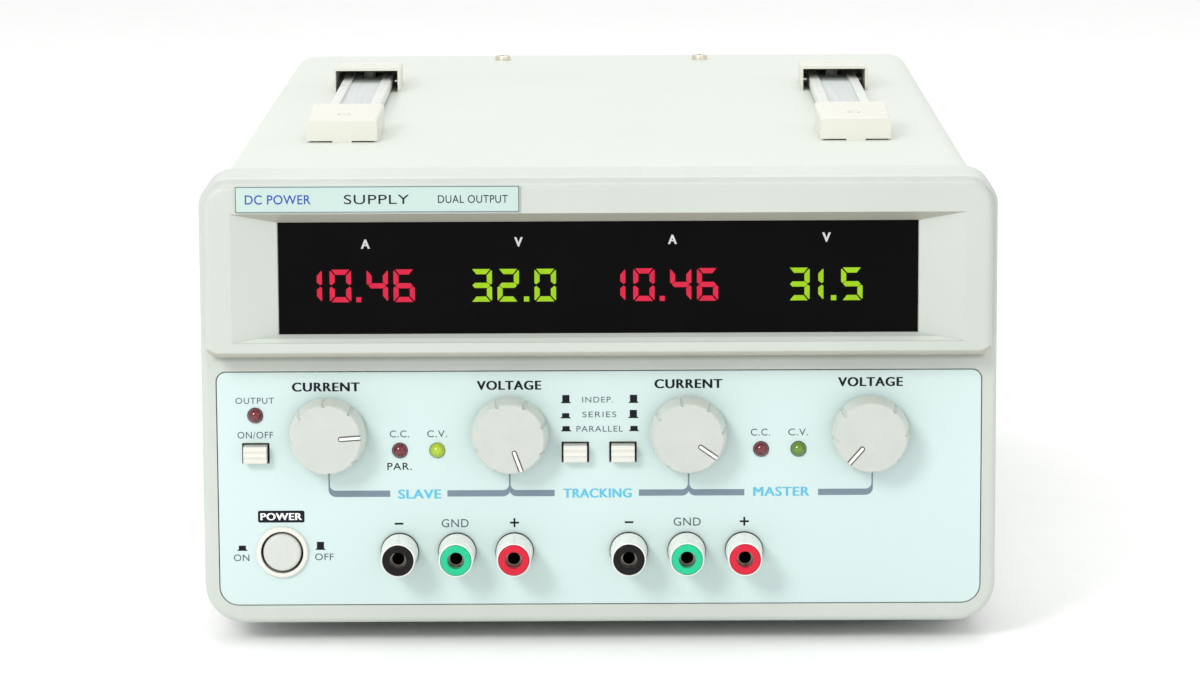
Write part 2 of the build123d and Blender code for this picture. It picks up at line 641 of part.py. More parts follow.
def post_collar(x):
    """Tapered ivory collar that is turned to open the post."""
    with BuildPart() as c:
        with BuildSketch(front(PANEL_Y - 1.3)):
            with Locations((x, Z0 + POST_Z)):
                Circle(6.0)
        with BuildSketch(front(PANEL_Y - POST_L + 0.4)):
            with Locations((x, Z0 + POST_Z)):
                Circle(5.4)
        loft()
        fillet(c.faces().sort_by(Axis.Y)[0].edges(), 0.2)
        with BuildSketch(front(PANEL_Y - 1.0)):
            with Locations((x, Z0 + POST_Z)):
                Circle(5.05)
        extrude(amount=POST_L, mode=Mode.SUBTRACT)
        # grip flutes round the collar
        with BuildSketch(front(PANEL_Y - 3.0)):
            with Locations((x, Z0 + POST_Z)):
                with PolarLocations(6.2, 12):
                    Circle(0.42)
        extrude(amount=8.0, mode=Mode.SUBTRACT)
    return c.part


def post_ring(x):
    """Coloured insulating core of the same knob, with the plug's lead-in."""
    with BuildPart() as r:
        with BuildSketch(front(PANEL_Y - 2.0)):
            with Locations((x, Z0 + POST_Z)):
                Circle(4.93)
        extrude(amount=POST_L - 2.0)
        fillet(r.faces().sort_by(Axis.Y)[0].edges(), 0.5)
        with BuildSketch(front(PANEL_Y - 2.0)):
            with Locations((x, Z0 + POST_Z)):
                Circle(3.1)
        extrude(amount=POST_L - 2.0 - 3.0, mode=Mode.SUBTRACT)
        with BuildSketch(front(PANEL_Y - POST_L)):
            with Locations((x, Z0 + POST_Z)):
                Circle(2.7)
        extrude(amount=-3.2, mode=Mode.SUBTRACT)
    return r.part


with BuildPart() as slave_negative_collar:
    add(post_collar(POST_X[0]))
slave_negative_collar.part.label = "slave_negative_collar"
export_step(slave_negative_collar.part, "parts/slave_negative_collar.step")
with BuildPart() as slave_ground_collar:
    add(post_collar(POST_X[1]))
slave_ground_collar.part.label = "slave_ground_collar"
export_step(slave_ground_collar.part, "parts/slave_ground_collar.step")
with BuildPart() as slave_positive_collar:
    add(post_collar(POST_X[2]))
slave_positive_collar.part.label = "slave_positive_collar"
export_step(slave_positive_collar.part, "parts/slave_positive_collar.step")
with BuildPart() as master_negative_collar:
    add(post_collar(POST_X[3]))
master_negative_collar.part.label = "master_negative_collar"
export_step(master_negative_collar.part, "parts/master_negative_collar.step")
with BuildPart() as master_ground_collar:
    add(post_collar(POST_X[4]))
master_ground_collar.part.label = "master_ground_collar"
export_step(master_ground_collar.part, "parts/master_ground_collar.step")
with BuildPart() as master_positive_collar:
    add(post_collar(POST_X[5]))
master_positive_collar.part.label = "master_positive_collar"
export_step(master_positive_collar.part, "parts/master_positive_collar.step")

with BuildPart() as slave_negative_ring:
    add(post_ring(POST_X[0]))
slave_negative_ring.part.label = "slave_negative_ring"
export_step(slave_negative_ring.part, "parts/slave_negative_ring.step")
with BuildPart() as slave_ground_ring:
    add(post_ring(POST_X[1]))
slave_ground_ring.part.label = "slave_ground_ring"
export_step(slave_ground_ring.part, "parts/slave_ground_ring.step")
with BuildPart() as slave_positive_ring:
    add(post_ring(POST_X[2]))
slave_positive_ring.part.label = "slave_positive_ring"
export_step(slave_positive_ring.part, "parts/slave_positive_ring.step")
with BuildPart() as master_negative_ring:
    add(post_ring(POST_X[3]))
master_negative_ring.part.label = "master_negative_ring"
export_step(master_negative_ring.part, "parts/master_negative_ring.step")
with BuildPart() as master_ground_ring:
    add(post_ring(POST_X[4]))
master_ground_ring.part.label = "master_ground_ring"
export_step(master_ground_ring.part, "parts/master_ground_ring.step")
with BuildPart() as master_positive_ring:
    add(post_ring(POST_X[5]))
master_positive_ring.part.label = "master_positive_ring"
export_step(master_positive_ring.part, "parts/master_positive_ring.step")


# ------------------------------------------------------------- push buttons
def push_button(x):
    """Ribbed rectangular cap with its stem inside the switch sleeve."""
    z = Z0 + PUSH_Z
    yf = PANEL_Y - PUSH_OUT
    with BuildPart() as b:
        with BuildSketch(Plane.YZ.offset(x - PUSH_W / 2)):
            with BuildLine():
                Polyline((yf + 0.7, z + PUSH_H / 2), (PANEL_Y + 9.0, z + PUSH_H / 2),
                         (PANEL_Y + 9.0, z - PUSH_H / 2), (yf + 0.7, z - PUSH_H / 2))
                ThreePointArc((yf + 0.7, z - PUSH_H / 2), (yf, z), (yf + 0.7, z + PUSH_H / 2))
            make_face()
        extrude(amount=PUSH_W)
        # two ribs' worth of grooves across the face
        with BuildSketch(Plane.YZ.offset(x - PUSH_W / 2 - 1)):
            with Locations((yf + 0.08, z + 1.0), (yf + 0.08, z - 0.9)):
                Circle(0.3)
        extrude(amount=PUSH_W + 2, mode=Mode.SUBTRACT)
    return b.part


with BuildPart() as output_button:
    add(push_button(PUSH_X[0]))
output_button.part.label = "output_button"
export_step(output_button.part, "parts/output_button.step")
with BuildPart() as left_tracking_button:
    add(push_button(PUSH_X[1]))
left_tracking_button.part.label = "left_tracking_button"
export_step(left_tracking_button.part, "parts/left_tracking_button.step")
with BuildPart() as right_tracking_button:
    add(push_button(PUSH_X[2]))
right_tracking_button.part.label = "right_tracking_button"
export_step(right_tracking_button.part, "parts/right_tracking_button.step")

# switch sleeves behind the panel: three small, one for the power button
with BuildPart() as switch_bodies:
    with BuildSketch(front(PANEL_Y + PANEL_T)):
        with Locations(*[(x, Z0 + PUSH_Z) for x in PUSH_X]):
            Rectangle(10.4, 8.4)
    extrude(amount=-18.0)
    with BuildSketch(front(PANEL_Y + PANEL_T)):
        with Locations(*[(x, Z0 + PUSH_Z) for x in PUSH_X]):
            Rectangle(PUSH_W + 0.6, PUSH_H + 0.6)
    extrude(amount=-13.0, mode=Mode.SUBTRACT)
    with BuildSketch(front(PANEL_Y + 6.4)):
        with Locations((POWER_X, Z0 + POWER_Z)):
            Rectangle(16.0, 18.0)
    extrude(amount=-19.4)
    with BuildSketch(front(PANEL_Y + 6.4)):
        with Locations((POWER_X, Z0 + POWER_Z)):
            Circle(6.5)
    extrude(amount=-7.0, mode=Mode.SUBTRACT)
switch_bodies.part.label = "switch_bodies"
export_step(switch_bodies.part, "parts/switch_bodies.step")

# round power button, latched in, and the ring it slides in
with BuildPart() as power_button:
    with BuildSketch(front(PANEL_Y + 11.0)):
        with Locations((POWER_X, Z0 + POWER_Z)):
            Circle(6.1)
    extrude(amount=12.5)
    fillet(power_button.faces().sort_by(Axis.Y)[0].edges(), 0.9)
power_button.part.label = "power_button"
export_step(power_button.part, "parts/power_button.step")

with BuildPart() as power_button_ring:
    with BuildSketch(front(PANEL_Y)):
        with Locations((POWER_X, Z0 + POWER_Z)):
            Circle(8.4)
    extrude(amount=1.3)
    fillet(power_button_ring.faces().sort_by(Axis.Y)[0].edges(), 0.7)
    with BuildSketch(front(PANEL_Y)):
        with Locations((POWER_X, Z0 + POWER_Z)):
            Circle(7.5)
    extrude(amount=-6.4)
    with BuildSketch(front(PANEL_Y - 1.3)):
        with Locations((POWER_X, Z0 + POWER_Z)):
            Circle(6.85)
    extrude(amount=-8.0, mode=Mode.SUBTRACT)
power_button_ring.part.label = "power_button_ring"
export_step(power_button_ring.part, "parts/power_button_ring.step")


# --------------------------------------------------------------- indicators
def led(x, z):
    """5 mm indicator: domed lens, flange behind the panel."""
    with BuildPart() as d:
        with BuildSketch(front(PANEL_Y + PANEL_T + 1.0)):
            with Locations((x, Z0 + z)):
                Circle(2.9)
        extrude(amount=1.0)
        with BuildSketch(front(PANEL_Y + PANEL_T + 1.0)):
            with Locations((x, Z0 + z)):
                Circle(LED_R)
        extrude(amount=2.6)
        with Locations((x, PANEL_Y + 0.4, Z0 + z)):
            Sphere(LED_R)
    return d.part


with BuildPart() as red_leds:
    add([led(*LED_POS["output"]), led(*LED_POS["slave_cc"]), led(*LED_POS["master_cc"])])
red_leds.part.label = "red_leds"
export_step(red_leds.part, "parts/red_leds.step")
with BuildPart() as slave_cv_led:
    add(led(*LED_POS["slave_cv"]))
slave_cv_led.part.label = "slave_cv_led"
export_step(slave_cv_led.part, "parts/slave_cv_led.step")
with BuildPart() as master_cv_led:
    add(led(*LED_POS["master_cv"]))
master_cv_led.part.label = "master_cv_led"
export_step(master_cv_led.part, "parts/master_cv_led.step")

# ------------------------------------------------------------------- boards
with BuildPart() as readout_modules:
    with BuildSketch(front(PANEL_Y - 4.6)):
        with Locations((-74.0, Z0 + 112.5), (-27.0, Z0 + 112.5), (22.5, Z0 + 112.5), (72.5, Z0 + 112.5)):
            Rectangle(42.0, 20.0)
    extrude(amount=-7.1)
readout_modules.part.label = "readout_modules"
export_step(readout_modules.part, "parts/readout_modules.step")

with BuildPart() as display_board:
    with BuildSketch(front(PANEL_Y + 2.5)):
        with Locations((0, Z0 + (WIN_Z0 + WIN_Z1) / 2)):
            RectangleRounded(224.0, 40.0, 2.0)
    extrude(amount=-1.6)
display_board.part.label = "display_board"
export_step(display_board.part, "parts/display_board.step")

with BuildPart() as control_board:
    with BuildSketch(front(PANEL_Y + 20.0)):
        with Locations((0, Z0 + 62.0)):
            RectangleRounded(232.0, 34.0, 1.5)
    extrude(amount=-1.6)
control_board.part.label = "control_board"
export_step(control_board.part, "parts/control_board.step")

BOARD_Z = Z0 + PAN_T - 0.2 + 11.0
with BuildPart() as main_board:
    with BuildSketch(level(BOARD_Z)):
        with Locations((0, (BOARD_Y0 + BOARD_Y1) / 2)):
            RectangleRounded(220.0, BOARD_Y1 - BOARD_Y0, 2.0)
    extrude(amount=1.6)
main_board.part.label = "main_board"
export_step(main_board.part, "parts/main_board.step")

with BuildPart() as filter_capacitors:
    with BuildSketch(level(BOARD_Z + 1.6)):
        with Locations((-80, -6), (-40, -6), (40, -6), (80, -6)):
            Circle(15.0)
    extrude(amount=48.0)
    fillet(filter_capacitors.faces().filter_by(Axis.Z).group_by(Axis.Z)[-1].edges(), 1.5)
filter_capacitors.part.label = "filter_capacitors"
export_step(filter_capacitors.part, "parts/filter_capacitors.step")

# ------------------------------------------------------------- transformers
TR_X, TR_Y, TR_STACK = 62.0, -98.0, 50.0
TR_Z = Z0 + PAN_T
with BuildPart() as transformer_cores:
    with BuildSketch(front(TR_Y - TR_STACK / 2)):
        with Locations((-TR_X, TR_Z + 42), (TR_X, TR_Z + 42)):
            Rectangle(100.0, 84.0)
        with Locations(*[(sx * TR_X + dx, TR_Z + 42) for sx in (-1, 1) for dx in (-25, 25)]):
            Rectangle(16.0, 50.0, mode=Mode.SUBTRACT)
    extrude(amount=-TR_STACK)
transformer_cores.part.label = "transformer_cores"
export_step(transformer_cores.part, "parts/transformer_cores.step")

with BuildPart() as transformer_windings:
    with BuildSketch(level(TR_Z + 42 - 24.7)):
        with Locations((-TR_X, TR_Y), (TR_X, TR_Y)):
            RectangleRounded(64.8, 82.0, 8.0)
            Rectangle(34.6, 50.6, mode=Mode.SUBTRACT)
    extrude(amount=49.4)
transformer_windings.part.label = "transformer_windings"
export_step(transformer_windings.part, "parts/transformer_windings.step")

# ---------------------------------------------------------------- heatsinks
HS_Y0, HS_Y1 = 50.0, 165.0
with BuildPart() as heatsinks:
    with BuildSketch(front(HS_Y0)):
        with Locations((-59.5, Z0 + PAN_T + 61), (19.5, Z0 + PAN_T + 61)):
            Rectangle(5.0, 122.0)
        with Locations(*[(-39.5, Z0 + 45.0 + 10 * i) for i in range(8)]):
            Rectangle(35.4, 2.0)
        with Locations(*[(-0.5, Z0 + 45.0 + 10 * i) for i in range(8)]):
            Rectangle(35.4, 2.0)
    extrude(amount=-(HS_Y1 - HS_Y0))
heatsinks.part.label = "heatsinks"
export_step(heatsinks.part, "parts/heatsinks.step")

with BuildPart() as power_transistors:
    for sx in (-64.5, 24.5):
        with BuildSketch(Plane.YZ.offset(sx - 2.5)):
            with Locations(*[(y, Z0 + 82.0) for y in (72, 107, 142)]):
                Rectangle(16.0, 20.0)
        extrude(amount=5.0)
power_transistors.part.label = "power_transistors"
export_step(power_transistors.part, "parts/power_transistors.step")

# ---------------------------------------------------------------------- fan
FAN_Y0 = REAR_Y0 - FAN_T
with BuildPart() as fan_frame:
    with BuildSketch(front(REAR_Y0)):
        with Locations((FAN_X, Z0 + FAN_Z)):
            RectangleRounded(FAN_SIZE, FAN_SIZE, 3.0)
            Circle(38.2, mode=Mode.SUBTRACT)
            with GridLocations(71.5, 71.5, 2, 2):
                Circle(2.2, mode=Mode.SUBTRACT)
    extrude(amount=FAN_T)
    # motor plate on three arms
    with BuildSketch(front(FAN_Y0 + 3.0)):
        with Locations((FAN_X, Z0 + FAN_Z)):
            Circle(17.0)
            with PolarLocations(27.5, 3):
                Rectangle(24.0, 4.0)
    extrude(amount=3.0)
fan_frame.part.label = "fan_frame"
export_step(fan_frame.part, "parts/fan_frame.step")

with BuildPart() as fan_rotor:
    with BuildSketch(front(REAR_Y0 - 3.0)):
        with Locations((FAN_X, Z0 + FAN_Z)):
            Circle(17.0)
    extrude(amount=18.0)
    fillet(fan_rotor.faces().sort_by(Axis.Y)[-1].edges(), 1.5)
    for i in range(7):
        a = radians(i * 360 / 7)
        radial = Vector(cos(a), 0, sin(a))
        tangent = Vector(-sin(a), 0, cos(a))
        pitch = radians(38)
        chord = (tangent * cos(pitch) + Vector(0, 1, 0) * sin(pitch)).normalized()
        root = Vector(FAN_X, REAR_Y0 - 12.0, Z0 + FAN_Z) + radial * 15.5
        with BuildSketch(Plane(origin=root, x_dir=chord, z_dir=radial)):
            Rectangle(20.0, 1.6)
        extrude(amount=20.5)
fan_rotor.part.label = "fan_rotor"
export_step(fan_rotor.part, "parts/fan_rotor.step")

# wire finger guard outside the rear panel
with BuildPart() as fan_guard:
    with BuildSketch(front(206.0)):
        with Locations((FAN_X, Z0 + FAN_Z)):
            for r in (38.0, 30.0, 22.0, 14.0):
                Circle(r + 0.9)
                Circle(r - 0.9, mode=Mode.SUBTRACT)
            Circle(6.0)
            with PolarLocations(25.6, 4, start_angle=45):
                Rectangle(43.4, 1.8)
    extrude(amount=1.8)
    with BuildSketch(front(205.0)):
        with Locations((FAN_X, Z0 + FAN_Z)):
            with PolarLocations(46.4, 4, start_angle=45):
                Rectangle(1.8, 1.8)
    extrude(amount=4.5)
    with BuildSketch(front(202.1)):
        with Locations((FAN_X, Z0 + FAN_Z)):
            with GridLocations(71.5, 71.5, 2, 2):
                Circle(4.2)
                Circle(2.2, mode=Mode.SUBTRACT)
    extrude(amount=1.6)
fan_guard.part.label = "fan_guard"
export_step(fan_guard.part, "parts/fan_guard.step")

# -------------------------------------------------------------- mains inlet
IN_Z = Z0 + INLET_Z
with BuildPart() as mains_inlet:
    with BuildSketch(front(203.0)) as sk:
        with Locations((INLET_X, IN_Z)):
            RectangleRounded(32.0, 62.0, 3.0)
        with Locations((INLET_X, IN_Z - INLET_SCREW), (INLET_X, IN_Z + INLET_SCREW)):
            Circle(1.6, mode=Mode.SUBTRACT)
    extrude(amount=2.5)
    with BuildSketch(front(REAR_Y1)):
        with Locations((INLET_X, IN_Z)):
            Rectangle(27.8, 47.8)
    extrude(amount=25.5)
    # appliance-coupler cavity with two cut corners
    with BuildSketch(front(203.0)) as sk:
        with Locations((INLET_X, IN_Z + 10)):
            Rectangle(24.0, 16.4)
        chamfer(sk.vertices().sort_by(Axis.Y)[-2:], 4.0)
    extrude(amount=19.0, mode=Mode.SUBTRACT)
    # fuse drawer cavity
    with BuildSketch(front(203.0)):
        with Locations((INLET_X, IN_Z - 13)):
            Rectangle(22.6, 9.6)
    extrude(amount=22.0, mode=Mode.SUBTRACT)
    # the three blades stand on the cavity floor and are moulded in
    with BuildSketch(front(203.0 - 19.4)):
        with Locations((INLET_X - 7, IN_Z + 8), (INLET_X + 7, IN_Z + 8), (INLET_X, IN_Z + 12)):
            Rectangle(2.0, 5.0)
    extrude(amount=-13.4)
mains_inlet.part.label = "mains_inlet"
export_step(mains_inlet.part, "parts/mains_inlet.step")

with BuildPart() as fuse_drawer:
    with BuildSketch(front(203.6)):
        with Locations((INLET_X, IN_Z - 13)):
            Rectangle(22.0, 9.0)
    extrude(amount=22.0)
    # finger lip
    with BuildSketch(front(204.6)):
        with Locations((INLET_X, IN_Z - 16.2)):
            Rectangle(9.0, 1.6)
    extrude(amount=2.0)
fuse_drawer.part.label = "fuse_drawer"
export_step(fuse_drawer.part, "parts/fuse_drawer.step")
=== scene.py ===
import math
import bmesh
import bpy
from mathutils import Matrix, Vector


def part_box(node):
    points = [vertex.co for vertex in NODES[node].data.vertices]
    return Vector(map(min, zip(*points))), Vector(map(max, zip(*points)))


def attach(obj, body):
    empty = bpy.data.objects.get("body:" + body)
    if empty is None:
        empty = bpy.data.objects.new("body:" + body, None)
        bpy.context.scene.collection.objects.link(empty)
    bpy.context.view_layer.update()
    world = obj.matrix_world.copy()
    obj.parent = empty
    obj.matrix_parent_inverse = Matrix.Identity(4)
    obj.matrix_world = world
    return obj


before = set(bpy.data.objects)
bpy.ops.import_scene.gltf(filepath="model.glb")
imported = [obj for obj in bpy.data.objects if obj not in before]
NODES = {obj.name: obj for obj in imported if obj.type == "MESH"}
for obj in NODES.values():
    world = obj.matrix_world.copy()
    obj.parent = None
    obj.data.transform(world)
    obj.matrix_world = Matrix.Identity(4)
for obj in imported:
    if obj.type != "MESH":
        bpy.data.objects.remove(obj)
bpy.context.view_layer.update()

MM = 0.001
PANEL_LO, PANEL_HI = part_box("control_panel")
PANEL_F = PANEL_LO.y / MM               # outer face of the control panel
PANEL_B = PANEL_LO.z / MM               # its lower edge
PANE_LO, PANE_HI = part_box("display_window")
PANE_F = PANE_LO.y / MM                 # outer face of the pane
CASE_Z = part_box("front_frame")[0].z / MM
PLATE_LO, PLATE_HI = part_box("nameplate")
KNOBS = {}
for side in ("slave", "master"):
    for kind in ("current", "voltage"):
        lo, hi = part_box(f"{side}_{kind}_shaft")
        KNOBS[f"{side}_{kind}"] = ((lo.x + hi.x) / 2, (lo.z + hi.z) / 2)
KNOB_TIP = min(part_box(f"{k}_knob")[0].y for k in KNOBS)


# --------------------------------------------------------------- materials
def lin(r, g, b):
    """sRGB 0-255 to linear."""
    out = []
    for c in (r, g, b):
        c = c / 255
        out.append(c / 12.92 if c <= 0.04045 else ((c + 0.055) / 1.055) ** 2.4)
    return (*out, 1.0)


def shade(c, k):
    return (min(c[0] * k, 1), min(c[1] * k, 1), min(c[2] * k, 1), 1.0)


def pale(r, g, b, k=0.78):
    """A light surface colour, taken down so that soft white light leaves its shading visible."""
    return shade(lin(r, g, b), k)


class Graph:
    """Short-hand for building one material's nodes."""

    def __init__(self, name):
        self.m = bpy.data.materials.new(name)
        self.m.use_nodes = True
        self.t = self.m.node_tree
        self.t.nodes.clear()
        self.out = self.t.nodes.new("ShaderNodeOutputMaterial")
        self.p = self.t.nodes.new("ShaderNodeBsdfPrincipled")
        self.t.links.new(self.p.outputs[0], self.out.inputs[0])
        self.coord = self.t.nodes.new("ShaderNodeTexCoord").outputs["Object"]

    def n(self, kind, **k):
        x = self.t.nodes.new(kind)
        for a, b in k.items():
            setattr(x, a, b)
        return x

    def link(self, a, b):
        self.t.links.new(a, b)

    def value(self, socket, v):
        if hasattr(v, "is_output") or isinstance(v, bpy.types.NodeSocket):
            self.link(v, socket)
        else:
            socket.default_value = v

    def scaled(self, sx, sy, sz):
        x = self.n("ShaderNodeMapping")
        x.inputs["Scale"].default_value = (sx, sy, sz)
        self.link(self.coord, x.inputs["Vector"])
        return x.outputs[0]

    def noise(self, scale, detail=3.0, rough=0.55, vector=None, distortion=0.0):
        x = self.n("ShaderNodeTexNoise")
        x.inputs["Scale"].default_value = scale
        x.inputs["Detail"].default_value = detail
        x.inputs["Roughness"].default_value = rough
        x.inputs["Distortion"].default_value = distortion
        self.link(vector or self.coord, x.inputs["Vector"])
        return x.outputs["Fac"]

    def ramp(self, fac, stops, kind="LINEAR"):
        x = self.n("ShaderNodeValToRGB")
        x.color_ramp.interpolation = kind
        el = x.color_ramp.elements
        while len(el) < len(stops):
            el.new(0.5)
        for e, (pos, col) in zip(el, stops):
            e.position = pos
            e.color = col if not isinstance(col, float) else (col, col, col, 1)
        self.link(fac, x.inputs[0])
        return x.outputs[0]

    def span(self, fac, a, b, c, d, clamp=True):
        x = self.n("ShaderNodeMapRange")
        x.clamp = clamp
        for i, v in zip(("From Min", "From Max", "To Min", "To Max"), (a, b, c, d)):
            x.inputs[i].default_value = v
        self.link(fac, x.inputs["Value"])
        return x.outputs[0]

    def math(self, op, a, b=None, c=None):
        x = self.n("ShaderNodeMath", operation=op)
        self.value(x.inputs[0], a)
        if b is not None:
            self.value(x.inputs[1], b)
        if c is not None:
            self.value(x.inputs[2], c)
        return x.outputs[0]

    def mix(self, fac, a, b, kind="MIX"):
        x = self.n("ShaderNodeMix", data_type="RGBA", blend_type=kind)
        self.value(x.inputs[0], fac)
        self.value(x.inputs[6], a)
        self.value(x.inputs[7], b)
        return x.outputs[2]

    def axes(self):
        x = self.n("ShaderNodeSeparateXYZ")
        self.link(self.coord, x.inputs[0])
        return x.outputs

    def bump(self, height, strength, distance, normal=None, invert=False):
        x = self.n("ShaderNodeBump", invert=invert)
        x.inputs["Strength"].default_value = strength
        x.inputs["Distance"].default_value = distance
        self.link(height, x.inputs["Height"])
        if normal is not None:
            self.link(normal, x.inputs["Normal"])
        return x.outputs[0]

    def rounded(self, radius):
        x = self.n("ShaderNodeBevel", samples=4)
        x.inputs["Radius"].default_value = radius
        return x.outputs[0]

    def edge(self, radius, lo=0.75, hi=0.98):
        """1 on sharp edges, 0 on flat faces."""
        g = self.n("ShaderNodeNewGeometry")
        d = self.n("ShaderNodeVectorMath", operation="DOT_PRODUCT")
        self.link(self.rounded(radius), d.inputs[0])
        self.link(g.outputs["Normal"], d.inputs[1])
        return self.span(d.outputs["Value"], lo, hi, 1.0, 0.0)


def plastic(name, col, rough=0.45, grain=2600.0, grain_depth=0.00003, grain_strength=0.25, tint=0.035,
            round_mm=0.25, wear=0.25, spec=0.45, coat=0.0, rough_var=0.08, sss=0.0, grime=0.0):
    """Moulded plastic: fine spark-eroded grain, slow colour drift, lighter worn edges."""
    g = Graph(name)
    slow = g.noise(14.0, 3.0)
    fine = g.noise(grain, 2.0, 0.6)
    mid = g.noise(160.0, 4.0, 0.6)
    base = g.mix(g.span(slow, 0.35, 0.65, 0.0, 1.0), shade(col, 1 - tint), shade(col, 1 + tint * 0.6))
    base = g.mix(g.span(mid, 0.3, 0.7, 0.0, 0.25), base, shade(col, 1 - tint * 1.4))
    base = g.mix(g.span(fine, 0.35, 0.65, 0.0, 0.10), base, shade(col, 0.8))
    if wear:
        e = g.edge(round_mm * MM * 1.6)
        w = g.math("MULTIPLY", e, g.span(mid, 0.42, 0.62, 0.2, 1.0))
        base = g.mix(g.math("MULTIPLY", w, wear), base, shade(col, 1.12))
    if grime:
        base = g.mix(g.span(g.noise(60.0, 6.0, 0.7), 0.56, 0.78, 0.0, grime), base, shade(col, 0.72))
    g.link(base, g.p.inputs["Base Color"])
    g.link(g.span(mid, 0.3, 0.7, rough - rough_var, rough + rough_var), g.p.inputs["Roughness"])
    nrm = g.rounded(round_mm * MM) if round_mm else None
    g.link(g.bump(fine, grain_strength, grain_depth, nrm), g.p.inputs["Normal"])
    g.p.inputs["Specular IOR Level"].default_value = spec
    if coat:
        g.p.inputs["Coat Weight"].default_value = coat
        g.p.inputs["Coat Roughness"].default_value = 0.12
    if sss:
        g.p.inputs["Subsurface Weight"].default_value = sss
        g.p.inputs["Subsurface Radius"].default_value = (0.0012, 0.0009, 0.0007)
        g.p.inputs["Subsurface Scale"].default_value = 1.0
    return g.m


def moulded(name, col, tone, **k):
    """Moulded plastic whose colour is also shifted by a tone(graph, base) step, which paints light and shade."""
    m = plastic(name, col, **k)
    t = m.node_tree
    p = [n for n in t.nodes if n.type == "BSDF_PRINCIPLED"][0]
    link = p.inputs["Base Color"].links[0]
    src = link.from_socket
    t.links.remove(link)
    g = Graph.__new__(Graph)
    g.m, g.t, g.p = m, t, p
    g.coord = [n for n in t.nodes if n.type == "TEX_COORD"][0].outputs["Object"]
    t.links.new(tone(g, src), p.inputs["Base Color"])
    return m


def slope(g):
    """World z of the surface normal: 1 facing up, -1 facing down."""
    n = g.n("ShaderNodeSeparateXYZ")
    g.link(g.n("ShaderNodeNewGeometry").outputs["Normal"], n.inputs[0])
    return n.outputs[2]


BLOCK_LO, BLOCK_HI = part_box("display_bezel")


def bezel_painted_light(g, base):
    """Painted shade: undersides are darkened and warmed. Painted light: the upward-facing ledge under the window is
    lightened.
    """
    nz = slope(g)
    x, y, z = g.axes()
    # painted shade: faces pointing down are darkened and warmed
    base = g.mix(g.span(nz, -0.15, -0.35, 0.0, 1.0), base, g.mix(1.0, base, (0.76, 0.70, 0.64, 1), "MULTIPLY"))
    # painted light: the upward-facing ledge below the window is lightened
    sill_painted_light = g.math("MULTIPLY", g.span(nz, 0.15, 0.35, 0.0, 1.0), g.math("LESS_THAN", z, PANE_LO.z + 0.001))
    sill_painted_light = g.math("MULTIPLY", sill_painted_light, g.math("GREATER_THAN", y, BLOCK_LO.y + 0.0004))
    return g.mix(sill_painted_light, base, g.mix(1.0, base, (1.28, 1.28, 1.28, 1), "MULTIPLY"))


def frame_painted_light(g, base):
    """Painted light: the upward-facing top is lightened. Painted shadow: a dark band on the frame face just under the
    display block.
    """
    nz = slope(g)
    x, y, z = g.axes()
    # painted light: upward-facing top is lightened
    base = g.mix(g.span(nz, 0.8, 0.97, 0.0, 1.0), base, g.mix(1.0, base, (1.16, 1.16, 1.16, 1), "MULTIPLY"))
    # painted shadow: dark band on the frame face just below the display block's overhang
    under = g.math("SUBTRACT", BLOCK_LO.z, z)
    line = g.math("MULTIPLY", g.span(under, 0.0, 0.0004, 0.0, 1.0), g.span(under, 0.0021, 0.0034, 1.0, 0.0))
    line = g.math("MULTIPLY", line, g.span(g.math("ABSOLUTE", x), BLOCK_HI.x - 0.003, BLOCK_HI.x - 0.001, 1.0, 0.0))
    line = g.math("MULTIPLY", line, g.math("LESS_THAN", y, PANEL_LO.y + 0.003))
    return g.mix(line, base, g.mix(1.0, base, (0.62, 0.62, 0.60, 1), "MULTIPLY"))


def socket_metal(name):
    """Plug socket: worn bright lip; painted shade makes it nearly black down the bore."""
    g = Graph(name)
    x, y, z = g.axes()
    front = min(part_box(k)[0].y for k in NODES if k == "terminal_studs")
    # painted shade: darker the further into the bore
    deep = g.span(y, front + 0.0002, front + 0.0016, 0.0, 1.0)
    f = g.noise(700.0, 3.0, 0.6)
    lip = g.mix(g.span(f, 0.3, 0.7, 0.0, 1.0), (0.20, 0.17, 0.14, 1), (0.36, 0.32, 0.27, 1))
    g.link(g.mix(deep, lip, (0.012, 0.010, 0.009, 1)), g.p.inputs["Base Color"])
    g.link(g.span(f, 0.3, 0.7, 0.26, 0.42), g.p.inputs["Roughness"])
    g.p.inputs["Metallic"].default_value = 0.85
    g.link(g.bump(f, 0.1, 0.00002), g.p.inputs["Normal"])
    return g.m


def powder(name, col, rough=0.42, peel=950.0, depth=0.00004, strength=0.35, tint=0.03, round_mm=0.5, wear=0.3):
    """Powder coat: orange peel under a fine speckle, a little chipped on the edges."""
    g = Graph(name)
    peel_n = g.noise(peel, 2.0, 0.5)
    slow = g.noise(7.0, 4.0, 0.6)
    speck = g.noise(4200.0, 1.0)
    base = g.mix(g.span(slow, 0.3, 0.7, 0.0, 1.0), shade(col, 1 - tint), shade(col, 1 + tint * 0.5))
    base = g.mix(g.span(speck, 0.55, 0.75, 0.0, 0.3), base, shade(col, 0.86))
    e = g.edge(round_mm * MM * 1.4)
    chip = g.math("MULTIPLY", e, g.span(g.noise(420.0, 5.0, 0.7), 0.5, 0.62, 0.0, 1.0))
    base = g.mix(g.math("MULTIPLY", chip, wear), base, shade(col, 0.62))
    g.link(base, g.p.inputs["Base Color"])
    g.link(g.span(peel_n, 0.3, 0.7, rough - 0.07, rough + 0.09), g.p.inputs["Roughness"])
    g.link(g.bump(speck, 0.08, 0.00001, g.bump(peel_n, strength, depth, g.rounded(round_mm * MM))), g.p.inputs["Normal"])
    g.p.inputs["Specular IOR Level"].default_value = 0.4
    return g.m


